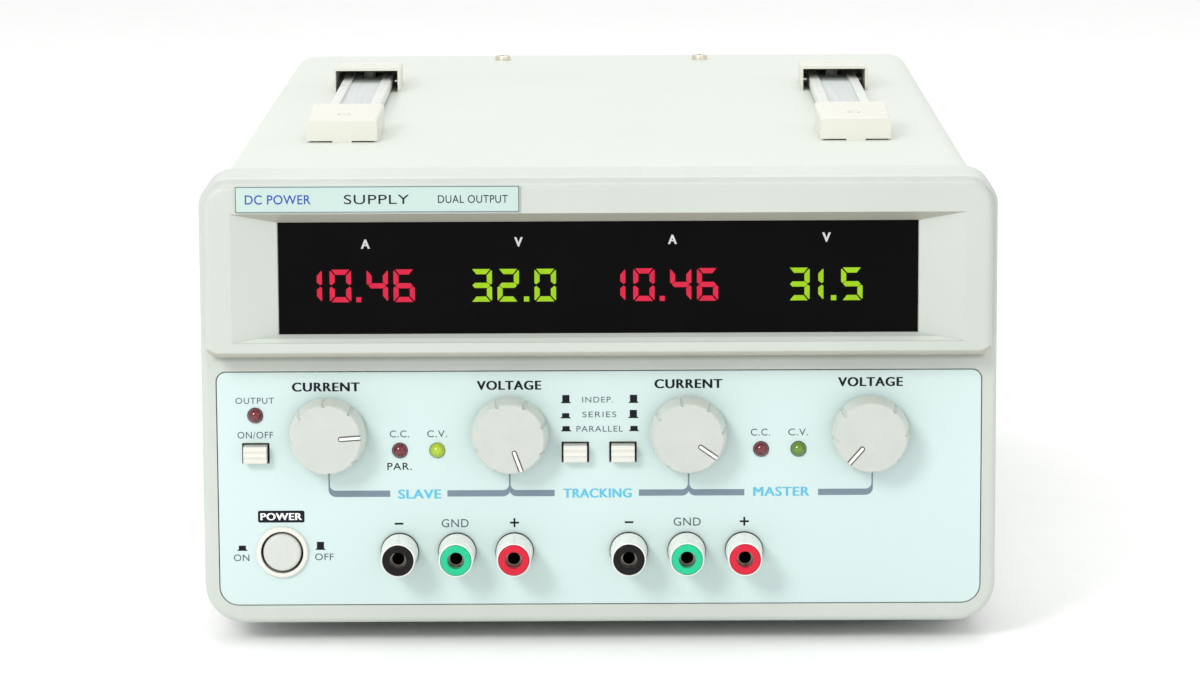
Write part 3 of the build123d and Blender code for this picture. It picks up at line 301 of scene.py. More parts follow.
def brushed(name, col, rough=0.34, along=(9.0, 2200.0, 2200.0), metallic=1.0, stain=0.12, round_mm=0.15, strength=0.18):
    """Metal with a directional finish and faint staining."""
    g = Graph(name)
    line = g.noise(1.0, 3.0, 0.6, vector=g.scaled(*along))
    cloud = g.noise(70.0, 5.0, 0.65)
    base = g.mix(g.span(line, 0.3, 0.7, 0.0, 1.0), shade(col, 0.86), shade(col, 1.08))
    base = g.mix(g.span(cloud, 0.45, 0.8, 0.0, stain * 2), base, shade(col, 0.6))
    base = g.mix(g.math("MULTIPLY", g.edge(round_mm * MM * 2), 0.35), base, shade(col, 1.25))
    g.link(base, g.p.inputs["Base Color"])
    g.link(g.span(line, 0.2, 0.8, rough - 0.1, rough + 0.12), g.p.inputs["Roughness"])
    g.p.inputs["Metallic"].default_value = metallic
    g.link(g.bump(line, strength, 0.00002, g.rounded(round_mm * MM)), g.p.inputs["Normal"])
    return g.m


def spangle(name, col):
    """Galvanised sheet with its crystal spangle."""
    g = Graph(name)
    v = g.n("ShaderNodeTexVoronoi")
    v.inputs["Scale"].default_value = 130.0
    g.link(g.coord, v.inputs["Vector"])
    cell = g.n("ShaderNodeSeparateColor")
    g.link(v.outputs["Color"], cell.inputs[0])
    base = g.mix(cell.outputs[0], shade(col, 0.8), shade(col, 1.12))
    base = g.mix(g.span(g.noise(40.0, 5.0), 0.5, 0.75, 0.0, 0.3), base, shade(col, 0.6))
    g.link(base, g.p.inputs["Base Color"])
    g.link(g.span(cell.outputs[1], 0.0, 1.0, 0.3, 0.5), g.p.inputs["Roughness"])
    g.p.inputs["Metallic"].default_value = 0.9
    g.link(g.bump(g.noise(900.0, 2.0), 0.1, 0.00002, g.rounded(0.0003)), g.p.inputs["Normal"])
    return g.m


def rubber(name, col):
    g = Graph(name)
    fine = g.noise(1900.0, 3.0, 0.7)
    dust = g.noise(90.0, 5.0, 0.7)
    base = g.mix(g.span(fine, 0.3, 0.7, 0.0, 1.0), shade(col, 0.8), shade(col, 1.25))
    base = g.mix(g.span(dust, 0.52, 0.8, 0.0, 0.35), base, (0.22, 0.21, 0.19, 1))
    g.link(base, g.p.inputs["Base Color"])
    g.link(g.span(dust, 0.3, 0.7, 0.72, 0.9), g.p.inputs["Roughness"])
    g.link(g.bump(fine, 0.4, 0.00006, g.rounded(0.0003)), g.p.inputs["Normal"])
    g.p.inputs["Specular IOR Level"].default_value = 0.25
    return g.m


def lens(name, dark, bright, glow=0.0, glow_col=None):
    """Diffused epoxy indicator, frosted inside. Painted light: the dome is brighter where it faces the viewer."""
    g = Graph(name)
    facing = g.n("ShaderNodeLayerWeight")
    facing.inputs["Blend"].default_value = 0.35
    frost = g.noise(1500.0, 3.0)
    # painted light: brighter where the dome faces the viewer, darker towards its rim
    f = g.math("ADD", g.span(facing.outputs["Facing"], 0.0, 0.9, 1.0, 0.0), g.span(frost, 0.3, 0.7, -0.08, 0.08))
    base = g.mix(f, dark, bright)
    g.link(base, g.p.inputs["Base Color"])
    g.link(g.span(frost, 0.3, 0.7, 0.06, 0.16), g.p.inputs["Roughness"])
    g.p.inputs["IOR"].default_value = 1.52
    g.p.inputs["Coat Weight"].default_value = 0.6
    g.p.inputs["Coat Roughness"].default_value = 0.05
    if glow:
        g.link(g.mix(f, shade(glow_col, 0.45), glow_col), g.p.inputs["Emission Color"])
        g.p.inputs["Emission Strength"].default_value = glow
    g.link(g.bump(frost, 0.03, 0.00001), g.p.inputs["Normal"])
    return g.m


def glow(name, col, strength, core=None):
    """A lit segment: slightly uneven light behind a diffuser."""
    g = Graph(name)
    grain = g.noise(1800.0, 3.0, 0.6)
    slow = g.noise(240.0, 2.0)
    f = g.math("ADD", g.span(grain, 0.3, 0.7, 0.0, 0.5), g.span(slow, 0.3, 0.7, 0.0, 0.5))
    c = g.mix(f, shade(col, 0.86), core or shade(col, 1.12))
    g.link(shade_link(g, c, 0.06), g.p.inputs["Base Color"])
    g.link(c, g.p.inputs["Emission Color"])
    g.p.inputs["Emission Strength"].default_value = strength
    g.link(g.span(grain, 0.3, 0.7, 0.3, 0.45), g.p.inputs["Roughness"])
    g.p.inputs["Specular IOR Level"].default_value = 0.08
    g.link(g.bump(grain, 0.05, 0.00001), g.p.inputs["Normal"])
    return g.m


def shade_link(g, c, k):
    return g.mix(1.0, c, (k, k, k, 1), "MULTIPLY")


def ink(name, col, rough=0.5, fade=0.12):
    """Screen-printed ink: slightly uneven density, a trace of ink edge."""
    g = Graph(name)
    dens = g.noise(1400.0, 4.0, 0.7)
    slow = g.noise(120.0, 2.0)
    base = g.mix(g.span(dens, 0.35, 0.75, 0.0, 1.0), shade(col, 1 - fade), shade(col, 1 + fade * 1.5))
    base = g.mix(g.span(slow, 0.4, 0.7, 0.0, 0.3), base, shade(col, 1 + fade * 2))
    g.link(base, g.p.inputs["Base Color"])
    g.link(g.span(dens, 0.3, 0.7, rough - 0.06, rough + 0.08), g.p.inputs["Roughness"])
    g.link(g.bump(dens, 0.1, 0.00001), g.p.inputs["Normal"])
    g.p.inputs["Specular IOR Level"].default_value = 0.16
    return g.m


def overlay(name, col):
    """Screen-printed film laminated on sheet: very fine velvet grain, even colour."""
    g = Graph(name)
    velvet = g.noise(3600.0, 2.0, 0.6)
    slow = g.noise(9.0, 3.0)
    sep = g.axes()
    base = g.mix(g.span(slow, 0.3, 0.7, 0.0, 1.0), shade(col, 0.985), shade(col, 1.012))
    base = g.mix(g.span(velvet, 0.35, 0.65, 0.0, 0.10), base, shade(col, 0.9))
    e = g.edge(0.0006)
    base = g.mix(g.math("MULTIPLY", e, 0.30), base, lin(170, 178, 176))
    g.link(base, g.p.inputs["Base Color"])
    g.link(g.span(velvet, 0.3, 0.7, 0.36, 0.5), g.p.inputs["Roughness"])
    g.link(g.bump(velvet, 0.12, 0.00002, g.rounded(0.0003)), g.p.inputs["Normal"])
    g.p.inputs["Specular IOR Level"].default_value = 0.35
    return g.m


def smoked(name):
    """Smoked acrylic over a black mask: deep black, sharp reflections, hairline marks, a little dust and a painted
    highlight along its edges.
    """
    g = Graph(name)
    haze = g.noise(30.0, 5.0, 0.6)
    dust = g.noise(1300.0, 2.0, 0.5)
    scratch = g.noise(1.0, 2.0, 0.5, vector=g.scaled(60.0, 60.0, 2600.0))
    base = g.mix(g.span(haze, 0.3, 0.7, 0.0, 1.0), (0.0012, 0.0010, 0.0011, 1), (0.0022, 0.0019, 0.0020, 1))
    base = g.mix(g.span(dust, 0.72, 0.82, 0.0, 0.20), base, (0.06, 0.06, 0.06, 1))
    # painted highlight: the pane's edges are lightened
    base = g.mix(g.math("MULTIPLY", g.edge(0.0004), 0.4), base, (0.30, 0.30, 0.29, 1))
    g.link(base, g.p.inputs["Base Color"])
    g.link(g.span(scratch, 0.35, 0.75, 0.04, 0.12), g.p.inputs["Roughness"])
    g.p.inputs["IOR"].default_value = 1.49
    g.p.inputs["Specular IOR Level"].default_value = 0.04
    g.link(g.bump(scratch, 0.02, 0.000005, g.rounded(0.0003)), g.p.inputs["Normal"])
    return g.m


def dial_plastic(name, centre):
    """Satin knob plastic. The raised pointer is painted white. Painted shadow darkens the channel beside it, painted
    light brightens the knob's sides and a painted highlight lightens its edges.
    """
    g = Graph(name)
    col = pale(221, 227, 219, 0.72)
    fine = g.noise(3000.0, 2.0, 0.6)
    mid = g.noise(210.0, 4.0, 0.6)
    base = g.mix(g.span(mid, 0.3, 0.7, 0.0, 1.0), shade(col, 0.965), shade(col, 1.02))
    base = g.mix(g.span(fine, 0.35, 0.65, 0.0, 0.12), base, shade(col, 0.84))
    e = g.edge(0.0005)
    ny = g.n("ShaderNodeSeparateXYZ")
    g.link(g.n("ShaderNodeNewGeometry").outputs["Normal"], ny.inputs[0])
    # painted light: all but the front-facing faces of the knob are lightened
    side = g.span(ny.outputs[1], -0.9, -0.7, 0.0, 1.0)
    base = g.mix(side, base, g.mix(1.0, base, (1.24, 1.24, 1.24, 1), "MULTIPLY"))
    # painted highlight: a lighter rim on the edges
    base = g.mix(g.math("MULTIPLY", e, g.span(mid, 0.35, 0.65, 0.45, 0.8)), base, shade(col, 1.3))
    x, y, z = g.axes()
    dx = g.math("SUBTRACT", x, centre[0])
    dz = g.math("SUBTRACT", z, centre[1])
    r = g.math("SQRT", g.math("ADD", g.math("MULTIPLY", dx, dx), g.math("MULTIPLY", dz, dz)))
    inside = g.math("LESS_THAN", r, 0.01098)
    face = KNOB_TIP + 0.0003
    below = g.math("GREATER_THAN", y, face + 0.00004)
    shallow = g.math("LESS_THAN", y, face + 0.0005)
    # painted shadow: the channel just behind the face, around the pointer, is darkened
    groove_painted_shadow = g.math("MULTIPLY", g.math("MULTIPLY", below, shallow), inside)
    base = g.mix(g.math("MULTIPLY", groove_painted_shadow, 0.82), base, lin(96, 90, 86))
    top = g.math("LESS_THAN", y, face - 0.00012)
    paint = g.mix(g.span(mid, 0.3, 0.7, 0.0, 1.0), (0.84, 0.84, 0.83, 1), (0.90, 0.90, 0.89, 1))
    base = g.mix(top, base, paint)
    g.link(base, g.p.inputs["Base Color"])
    g.link(g.span(mid, 0.3, 0.7, 0.38, 0.52), g.p.inputs["Roughness"])
    g.link(g.bump(fine, 0.2, 0.00003, g.rounded(0.00025)), g.p.inputs["Normal"])
    g.p.inputs["Specular IOR Level"].default_value = 0.4
    return g.m


def strap_plastic(name):
    """Cream strap: greyer, duller web between the two polished edges."""
    g = Graph(name)
    col = pale(240, 243, 237, 0.82)
    x, y, z = g.axes()
    ax = g.math("ABSOLUTE", x)
    off = g.math("ABSOLUTE", g.math("SUBTRACT", ax, 0.0876))
    web = g.span(off, 0.0053, 0.0058, 1.0, 0.0)
    mid = g.noise(180.0, 4.0, 0.6)
    fine = g.noise(1500.0, 3.0, 0.6)
    ribs = g.noise(1.0, 2.0, 0.5, vector=g.scaled(900.0, 14.0, 900.0))
    base = g.mix(g.span(mid, 0.3, 0.7, 0.0, 1.0), shade(col, 0.96), shade(col, 1.02))
    grey = g.mix(g.span(ribs, 0.3, 0.7, 0.0, 1.0), pale(204, 212, 211, 0.82), pale(222, 228, 226, 0.82))
    base = g.mix(g.math("MULTIPLY", web, 0.85), base, grey)
    base = g.mix(g.math("MULTIPLY", g.edge(0.0005), 0.3), base, shade(col, 1.1))
    g.link(base, g.p.inputs["Base Color"])
    g.link(g.math("ADD", g.span(mid, 0.3, 0.7, 0.26, 0.38), g.math("MULTIPLY", web, 0.2)), g.p.inputs["Roughness"])
    g.link(g.bump(fine, 0.12, 0.00002, g.rounded(0.0003)), g.p.inputs["Normal"])
    return g.m


def circuit(name):
    """Solder-masked board: copper traces under the mask, plated pads."""
    g = Graph(name)
    b = g.n("ShaderNodeTexBrick")
    b.inputs["Scale"].default_value = 170.0
    b.inputs["Mortar Size"].default_value = 0.10
    m = g.n("ShaderNodeMapping")
    m.inputs["Rotation"].default_value = (0.0, 0.0, 0.0)
    g.link(g.coord, m.inputs["Vector"])
    g.link(m.outputs[0], b.inputs["Vector"])
    v = g.n("ShaderNodeTexVoronoi")
    v.inputs["Scale"].default_value = 320.0
    g.link(g.coord, v.inputs["Vector"])
    pad = g.math("LESS_THAN", v.outputs["Distance"], 0.22)
    trace = g.span(b.outputs["Fac"], 0.3, 0.7, 0.0, 1.0)
    base = g.mix(trace, (0.010, 0.105, 0.035, 1), (0.022, 0.20, 0.062, 1))
    base = g.mix(pad, base, (0.62, 0.60, 0.52, 1))
    g.link(base, g.p.inputs["Base Color"])
    g.link(g.span(g.noise(300.0), 0.3, 0.7, 0.28, 0.42), g.p.inputs["Roughness"])
    g.link(g.math("MULTIPLY", pad, 0.9), g.p.inputs["Metallic"])
    g.link(g.bump(trace, 0.25, 0.00004, g.rounded(0.0002)), g.p.inputs["Normal"])
    return g.m


def laminated(name):
    """Stacked, varnished transformer laminations."""
    g = Graph(name)
    w = g.n("ShaderNodeTexWave", wave_type="BANDS", bands_direction="Y")
    w.inputs["Scale"].default_value = 300.0
    w.inputs["Distortion"].default_value = 0.4
    g.link(g.coord, w.inputs["Vector"])
    rust = g.noise(120.0, 5.0, 0.7)
    base = g.mix(w.outputs["Fac"], (0.035, 0.033, 0.032, 1), (0.10, 0.095, 0.09, 1))
    base = g.mix(g.span(rust, 0.58, 0.75, 0.0, 0.5), base, (0.16, 0.07, 0.03, 1))
    g.link(base, g.p.inputs["Base Color"])
    g.link(g.span(rust, 0.3, 0.7, 0.42, 0.62), g.p.inputs["Roughness"])
    g.p.inputs["Metallic"].default_value = 0.7
    g.link(g.bump(w.outputs["Fac"], 0.4, 0.0001), g.p.inputs["Normal"])
    return g.m


def wound(name):
    """Enamelled winding showing through varnished tape."""
    g = Graph(name)
    w = g.n("ShaderNodeTexWave", wave_type="BANDS", bands_direction="Z")
    w.inputs["Scale"].default_value = 190.0
    w.inputs["Distortion"].default_value = 0.6
    g.link(g.coord, w.inputs["Vector"])
    f = g.noise(220.0, 4.0)
    base = g.mix(w.outputs["Fac"], (0.26, 0.10, 0.03, 1), (0.62, 0.30, 0.12, 1))
    base = g.mix(g.span(f, 0.45, 0.7, 0.0, 0.55), base, (0.72, 0.60, 0.22, 1))
    g.link(base, g.p.inputs["Base Color"])
    g.link(g.span(f, 0.3, 0.7, 0.25, 0.45), g.p.inputs["Roughness"])
    g.p.inputs["Metallic"].default_value = 0.35
    g.link(g.bump(w.outputs["Fac"], 0.5, 0.00015), g.p.inputs["Normal"])
    return g.m


def sleeve(name):
    """Capacitor shrink sleeve with its pale stripe and pressed metal top."""
    g = Graph(name)
    x, y, z = g.axes()
    f = g.noise(260.0, 3.0)
    stripe = g.n("ShaderNodeTexWave", wave_type="BANDS", bands_direction="X")
    stripe.inputs["Scale"].default_value = 12.0
    g.link(g.coord, stripe.inputs["Vector"])
    base = g.mix(g.span(f, 0.3, 0.7, 0.0, 1.0), (0.012, 0.02, 0.06, 1), (0.022, 0.035, 0.09, 1))
    base = g.mix(g.span(stripe.outputs["Fac"], 0.93, 0.96, 0.0, 1.0), base, (0.55, 0.57, 0.6, 1))
    geo = g.n("ShaderNodeNewGeometry")
    sn = g.n("ShaderNodeSeparateXYZ")
    g.link(geo.outputs["Normal"], sn.inputs[0])
    top = g.math("GREATER_THAN", sn.outputs[2], 0.9)
    base = g.mix(top, base, (0.62, 0.62, 0.63, 1))
    g.link(base, g.p.inputs["Base Color"])
    g.link(top, g.p.inputs["Metallic"])
    g.link(g.span(f, 0.3, 0.7, 0.2, 0.36), g.p.inputs["Roughness"])
    g.link(g.bump(f, 0.1, 0.00005), g.p.inputs["Normal"])
    return g.m


def plate_film(name, col):
    g = Graph(name)
    f = g.noise(2600.0, 2.0)
    s = g.noise(40.0, 3.0)
    base = g.mix(g.span(s, 0.3, 0.7, 0.0, 1.0), shade(col, 0.97), shade(col, 1.02))
    base = g.mix(g.span(f, 0.4, 0.7, 0.0, 0.08), base, shade(col, 0.86))
    base = g.mix(g.math("MULTIPLY", g.edge(0.0004), 0.35), base, lin(120, 126, 126))
    g.link(base, g.p.inputs["Base Color"])
    g.link(g.span(f, 0.3, 0.7, 0.24, 0.36), g.p.inputs["Roughness"])
    g.link(g.bump(f, 0.08, 0.00001, g.rounded(0.0001)), g.p.inputs["Normal"])
    return g.m


FRAME_COL = pale(220, 227, 219, 0.75)
IVORY = pale(246, 247, 240, 0.97)
M = {
    "frame": moulded("moulded_frame", FRAME_COL, frame_painted_light, rough=0.40, grain=2200.0, grain_strength=0.22, round_mm=0.45, wear=0.15),
    "bezel": moulded("moulded_bezel", pale(220, 227, 219, 0.73), bezel_painted_light, rough=0.38, grain=2300.0, grain_strength=0.2, round_mm=0.35, wear=0.15),
    "window": smoked("smoked_acrylic"),
    "plate": plate_film("plate_film", pale(216, 240, 234, 0.68)),
    "panel": overlay("panel_overlay", pale(220, 240, 238, 0.80)),
    "cover": powder("cover_powder_coat", pale(236, 243, 234, 0.80)),
    "rear": powder("rear_powder_coat", pale(224, 230, 221)),
    "pan": spangle("galvanised_sheet", (0.62, 0.64, 0.66, 1)),
    "zinc": brushed("zinc_plating", (0.78, 0.72, 0.60, 1), rough=0.30, along=(400.0, 400.0, 400.0)),
    "nut": brushed("nickel_nuts", (0.74, 0.73, 0.70, 1), rough=0.26, along=(500.0, 500.0, 500.0)),
    "rubber": rubber("foot_rubber", (0.03, 0.03, 0.031, 1)),
    "strap": strap_plastic("strap_plastic"),
    "cap": plastic("cap_plastic", pale(243, 243, 231, 0.83), rough=0.34, grain=1700.0, grain_strength=0.12, round_mm=0.0, wear=0.0),
    "shaft": brushed("turned_steel", (0.66, 0.66, 0.67, 1), rough=0.25, along=(900.0, 60.0, 900.0)),
    "grey": plastic("component_grey", (0.05, 0.055, 0.06, 1), rough=0.5, grain=1500.0),
    "ivory_key": plastic("ivory_key", pale(243, 243, 233, 0.80), rough=0.26, grain=1800.0, grain_strength=0.08, tint=0.02, round_mm=0.25, wear=0.2, coat=0.15),
    "ivory": plastic("ivory_plastic", IVORY, rough=0.24, grain=1800.0, grain_strength=0.08, tint=0.02, round_mm=0.25, wear=0.25, coat=0.25, sss=0.08),
    "button": plastic("button_face", pale(226, 231, 224, 0.76), rough=0.30, grain=1800.0, grain_strength=0.10, tint=0.02, round_mm=0.25, wear=0.2, coat=0.1),
    "black": plastic("black_plastic", (0.0075, 0.0075, 0.0082, 1), rough=0.22, grain=1900.0, grain_strength=0.10, round_mm=0.25, wear=0.3, spec=0.12, coat=0.06),
    "fan_black": plastic("fan_plastic", (0.016, 0.016, 0.018, 1), rough=0.42, grain=1500.0, grain_strength=0.2, round_mm=0.3, wear=0.3, grime=0.2),
    "chip": plastic("epoxy_black", (0.022, 0.022, 0.024, 1), rough=0.6, grain=2200.0, grain_strength=0.4, round_mm=0.2),
    "green": plastic("green_plastic", lin(20, 190, 138), rough=0.24, grain=1900.0, grain_strength=0.08, tint=0.05, round_mm=0.3, wear=0.2, spec=0.3, coat=0.08),
    "red": plastic("red_plastic", lin(206, 12, 48), rough=0.22, grain=1900.0, grain_strength=0.08, tint=0.05, round_mm=0.3, wear=0.2, spec=0.3, coat=0.08),
    "socket": socket_metal("socket_metal"),
    "red_lens": lens("red_lens", (0.016, 0.0004, 0.002, 1), (0.15, 0.002, 0.010, 1)),
    "green_lit": lens("green_lens_lit", (0.04, 0.08, 0.0, 1), (0.26, 0.36, 0.006, 1), glow=0.36, glow_col=(0.48, 0.68, 0.004, 1)),
    "green_off": lens("green_lens_unlit", (0.010, 0.04, 0.001, 1), (0.11, 0.25, 0.006, 1)),
    "board": circuit("circuit_board"),
    "sleeve": sleeve("capacitor_sleeve"),
    "core": laminated("laminations"),
    "winding": wound("winding"),
    "sink": brushed("extruded_aluminium", (0.70, 0.71, 0.73, 1), rough=0.42, along=(700.0, 9.0, 700.0)),
    "wire": brushed("plated_wire", (0.72, 0.72, 0.74, 1), rough=0.22, along=(300.0, 300.0, 300.0)),
    "ink_dark": ink("ink_dark", lin(16, 18, 28)),
    "ink_grey": ink("ink_grey", lin(76, 84, 90)),
    "ink_cyan": ink("ink_cyan", lin(90, 181, 210), fade=0.05),
    "ink_slate": ink("ink_slate", lin(114, 132, 144), fade=0.05),
    "ink_white": ink("ink_white", lin(244, 244, 244), fade=0.02),
    "ink_blue": ink("ink_blue", lin(46, 76, 160), fade=0.06),
    "ink_black": ink("ink_black", lin(20, 22, 36), fade=0.1),
    "lit_red": glow("segment_red", lin(228, 44, 76), 0.90),
    "lit_green": glow("segment_green", lin(166, 216, 36), 0.90),
    # painted glow: the white unit letters are print, made to emit light
    "letter_white_painted_glow": glow("letter_white_painted_glow", lin(236, 236, 238), 0.75),
}

USE = {
    "front_frame": "frame", "display_bezel": "bezel", "display_window": "window", "nameplate": "plate",
    "control_panel": "panel", "top_cover": "cover", "chassis_pan": "pan", "rear_panel": "rear",
    "case_screws": "zinc", "panel_nuts": "nut", "rubber_feet": "rubber", "left_handle_strap": "strap",
    "right_handle_strap": "strap", "handle_end_caps": "cap", "potentiometers": "grey", "switch_bodies": "grey",
    "power_button": "button", "power_button_ring": "ivory_key", "output_button": "ivory_key", "left_tracking_button": "ivory_key",
    "right_tracking_button": "ivory_key", "terminal_bushes": "black", "fan_frame": "fan_black", "fan_rotor": "fan_black",
    "mains_inlet": "fan_black", "fuse_drawer": "black", "readout_modules": "chip", "power_transistors": "chip",
    "terminal_studs": "socket", "red_leds": "red_lens", "slave_cv_led": "green_lit", "master_cv_led": "green_off",
    "display_board": "board", "control_board": "board", "main_board": "board", "filter_capacitors": "sleeve",
    "transformer_cores": "core", "transformer_windings": "winding", "heatsinks": "sink", "fan_guard": "wire",
}
for side in ("slave", "master"):
    for kind, m in (("negative", "black"), ("ground", "green"), ("positive", "red")):
        USE[f"{side}_{kind}_ring"] = m
        USE[f"{side}_{kind}_collar"] = "ivory"
for k, c in KNOBS.items():
    M["dial_" + k] = dial_plastic("dial_" + k, c)
    USE[k + "_knob"] = "dial_" + k
    USE[k + "_shaft"] = "shaft"
for name, obj in NODES.items():
    mat = M[USE[name]]
    if not obj.material_slots:
        obj.data.materials.append(mat)
    for s in obj.material_slots:
        s.material = mat


# ------------------------------------------------------------ flat pieces
def new_object(name, mesh, mat, body="case"):
    o = bpy.data.objects.new(name, mesh)
    bpy.context.scene.collection.objects.link(o)
    o.data.materials.clear()
    o.data.materials.append(M[mat])
    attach(o, body)
    return o


def raised(name, shapes, y, t, mat, body="case"):
    """Closed flat pieces t mm thick standing on the plane y, facing the user. shapes: outlines of (x, z) in mm."""
    bm = bmesh.new()
    for pts in shapes:
        area = sum(a[0] * b[1] - b[0] * a[1] for a, b in zip(pts, pts[1:] + pts[:1]))
        if area < 0:
            pts = pts[::-1]
        fr = [bm.verts.new((x * MM, (y - t) * MM, z * MM)) for x, z in pts]
        bk = [bm.verts.new((x * MM, (y + 0.01) * MM, z * MM)) for x, z in pts]
        bm.faces.new(fr)
        bm.faces.new(bk[::-1])
        n = len(pts)
        for i in range(n):
            j = (i + 1) % n
            bm.faces.new((fr[j], fr[i], bk[i], bk[j]))
    bmesh.ops.recalc_face_normals(bm, faces=bm.faces)
    mesh = bpy.data.meshes.new(name)
    bm.to_mesh(mesh)
    bm.free()
    return new_object(name, mesh, mat, body)


def arc(cx, cz, r, a0, a1, n=8):
    return [(cx + r * math.cos(math.radians(a0 + (a1 - a0) * i / n)), cz + r * math.sin(math.radians(a0 + (a1 - a0) * i / n))) for i in range(n + 1)]


def words(name, items, y, t, mat, body="case"):
    """Lettering fitted to boxes: items are (text, cx, cz, width, height, weight, spacing, strike).
    strike is the sideways step in mm between the repeats that make a letter bold."""
    bm = bmesh.new()
    strikes = []
    for item in items:
        text, cx, cz, w, h, weight, gap = item[:7]
        step = item[7] if len(item) > 7 else 0.0
        for k in ((-1, 0, 1) if step else (0,)):
            strikes.append((text, cx + k * step, cz, w - 2 * step, h, weight, gap, t + 0.001 * k))
    for text, cx, cz, w, h, weight, gap, thick in strikes:
        cu = bpy.data.curves.new("tmp_text", "FONT")
        cu.body = text
        cu.size = 1.0
        cu.resolution_u = 6
        cu.extrude = 0.05
        cu.offset = weight
        cu.space_character = gap
        ob = bpy.data.objects.new("tmp_text", cu)
        bpy.context.scene.collection.objects.link(ob)
        bpy.context.view_layer.update()
        me = bpy.data.meshes.new_from_object(ob.evaluated_get(bpy.context.evaluated_depsgraph_get()))
        xs = [v.co.x for v in me.vertices]
        ys = [v.co.y for v in me.vertices]
        x0, x1, y0, y1 = min(xs), max(xs), min(ys), max(ys)
        sx, sy = w / (x1 - x0), h / (y1 - y0)
        for v in me.vertices:
            x = cx + (v.co.x - (x0 + x1) / 2) * sx
            z = cz + (v.co.y - (y0 + y1) / 2) * sy
            d = y + 0.01 - (thick + 0.01) * (v.co.z + 0.05) / 0.1
            v.co = (x * MM, d * MM, z * MM)
        bm.from_mesh(me)
        bpy.data.objects.remove(ob)
        bpy.data.curves.remove(cu)
        bpy.data.meshes.remove(me)
    bmesh.ops.remove_doubles(bm, verts=bm.verts, dist=1e-7)
    bmesh.ops.recalc_face_normals(bm, faces=bm.faces)
    mesh = bpy.data.meshes.new(name)
    bm.to_mesh(mesh)
    bm.free()
    return new_object(name, mesh, mat, body)


PF, PB = PANEL_F, PANEL_B
T = 0.05
KX = [KNOBS[k][0] / MM for k in ("slave_current", "slave_voltage", "master_current", "master_voltage")]

words("legend_dial_names", [
    ("CURRENT", -87.5, PB + 71.3, 21.8, 2.95, 0.004, 1.12, 0.16), ("VOLTAGE", -28.8, PB + 71.6, 20.7, 2.95, 0.004, 1.12, 0.16),
    ("CURRENT", 28.7, PB + 71.9, 21.8, 2.95, 0.004, 1.12, 0.16), ("VOLTAGE", 87.0, PB + 72.3, 20.8, 2.95, 0.004, 1.12, 0.16)],
    PF, T, "ink_dark")
words("legend_small", [
    ("OUTPUT", -110.4, PB + 66.9, 12.3, 2.0, 0.0, 1.15), ("ON/OFF", -110.4, PB + 55.7, 11.4, 2.2, 0.0, 1.1),
    ("C.C.", -64.1, PB + 55.9, 6.2, 2.25, 0.0, 1.1), ("C.V.", -52.0, PB + 55.9, 6.4, 2.25, 0.0, 1.1),
    ("C.C.", 51.8, PB + 56.0, 6.2, 2.25, 0.0, 1.1), ("C.V.", 63.9, PB + 56.0, 6.4, 2.25, 0.0, 1.1),
    ("INDEP.", -0.4, PB + 66.8, 9.9, 1.85, -0.002, 1.15), ("SERIES", 0.1, PB + 62.0, 10.9, 1.85, -0.002, 1.15),
    ("PARALLEL", 0.2, PB + 57.3, 14.9, 1.85, -0.002, 1.12),
    ("ON", -115.5, PB + 15.5, 5.0, 2.2, 0.0, 1.05), ("OFF", -88.8, PB + 15.7, 6.0, 2.2, 0.0, 1.05),
    ("GND", -46.5, PB + 26.6, 8.7, 2.7, 0.0, 1.08), ("GND", 28.2, PB + 26.8, 8.7, 2.7, 0.0, 1.08)],
    PF, T, "ink_grey")
words("legend_par", [("PAR.", -64.2, PB + 45.3, 7.8, 2.35, 0.004, 1.1)], PF, T, "ink_dark")
words("legend_groups", [
    ("SLAVE", -57.8, PB + 36.2, 13.9, 3.0, 0.004, 1.08, 0.16), ("TRACKING", -0.6, PB + 36.3, 22.0, 3.0, 0.004, 1.1, 0.16),
    ("MASTER", 58.5, PB + 36.6, 18.1, 3.0, 0.0, 1.1, 0.16)], PF, T, "ink_cyan")

# slate bars that tie each pair of dials together
ZB, ZT, ZL = PB + 35.35, PB + 37.4, PB + 47.5


def side_end(xk, xe):
    s = 1 if xe > xk else -1
    pts = [(-0.22, ZL)] + arc(-0.22 + 2.4, ZB + 2.4, 2.4, 180, 270) + [(abs(xe - xk), ZB), (abs(xe - xk), ZT)]
    pts += arc(0.22 + 1.9, ZT + 1.9, 1.9, 270, 180) + [(0.22, ZL)]
    return [(xk + s * u, z) for u, z in pts]


def middle(xk, xl, xr):
    right = [(0.24, ZL)] + arc(0.24 + 1.9, ZT + 1.9, 1.9, 180, 270) + [(xr - xk, ZT), (xr - xk, ZB)]
    right += arc(2.2, ZB + 2.4, 2.4, 270, 203.6)
    left = [(-0.24, ZL)] + arc(-0.24 - 1.9, ZT + 1.9, 1.9, 0, -90) + [(xl - xk, ZT), (xl - xk, ZB)]
    left += arc(-2.2, ZB + 2.4, 2.4, 270, 336.4)
    return [(xk + u, z) for u, z in right + left[:-1][::-1]]


raised("legend_bars", [side_end(KX[0] + 0.1, -67.3), middle(KX[1] - 0.2, -48.9, -14.4),
                       middle(KX[2] + 0.1, 12.7, 46.6), side_end(KX[3] + 0.7, 70.3)], PF, T, "ink_slate")


def hat(cx, cz, tall):
    """Pictogram of a button, out (tall) or pressed (short)."""
    z0 = cz
    h = 2.15 if tall else 1.2
    return [(cx - 1.6, z0), (cx + 1.6, z0), (cx + 1.6, z0 + 0.22), (cx + 1.15, z0 + 0.5), (cx + 1.15, z0 + 0.5 + h),
            (cx - 1.15, z0 + 0.5 + h), (cx - 1.15, z0 + 0.5), (cx - 1.6, z0 + 0.22)]


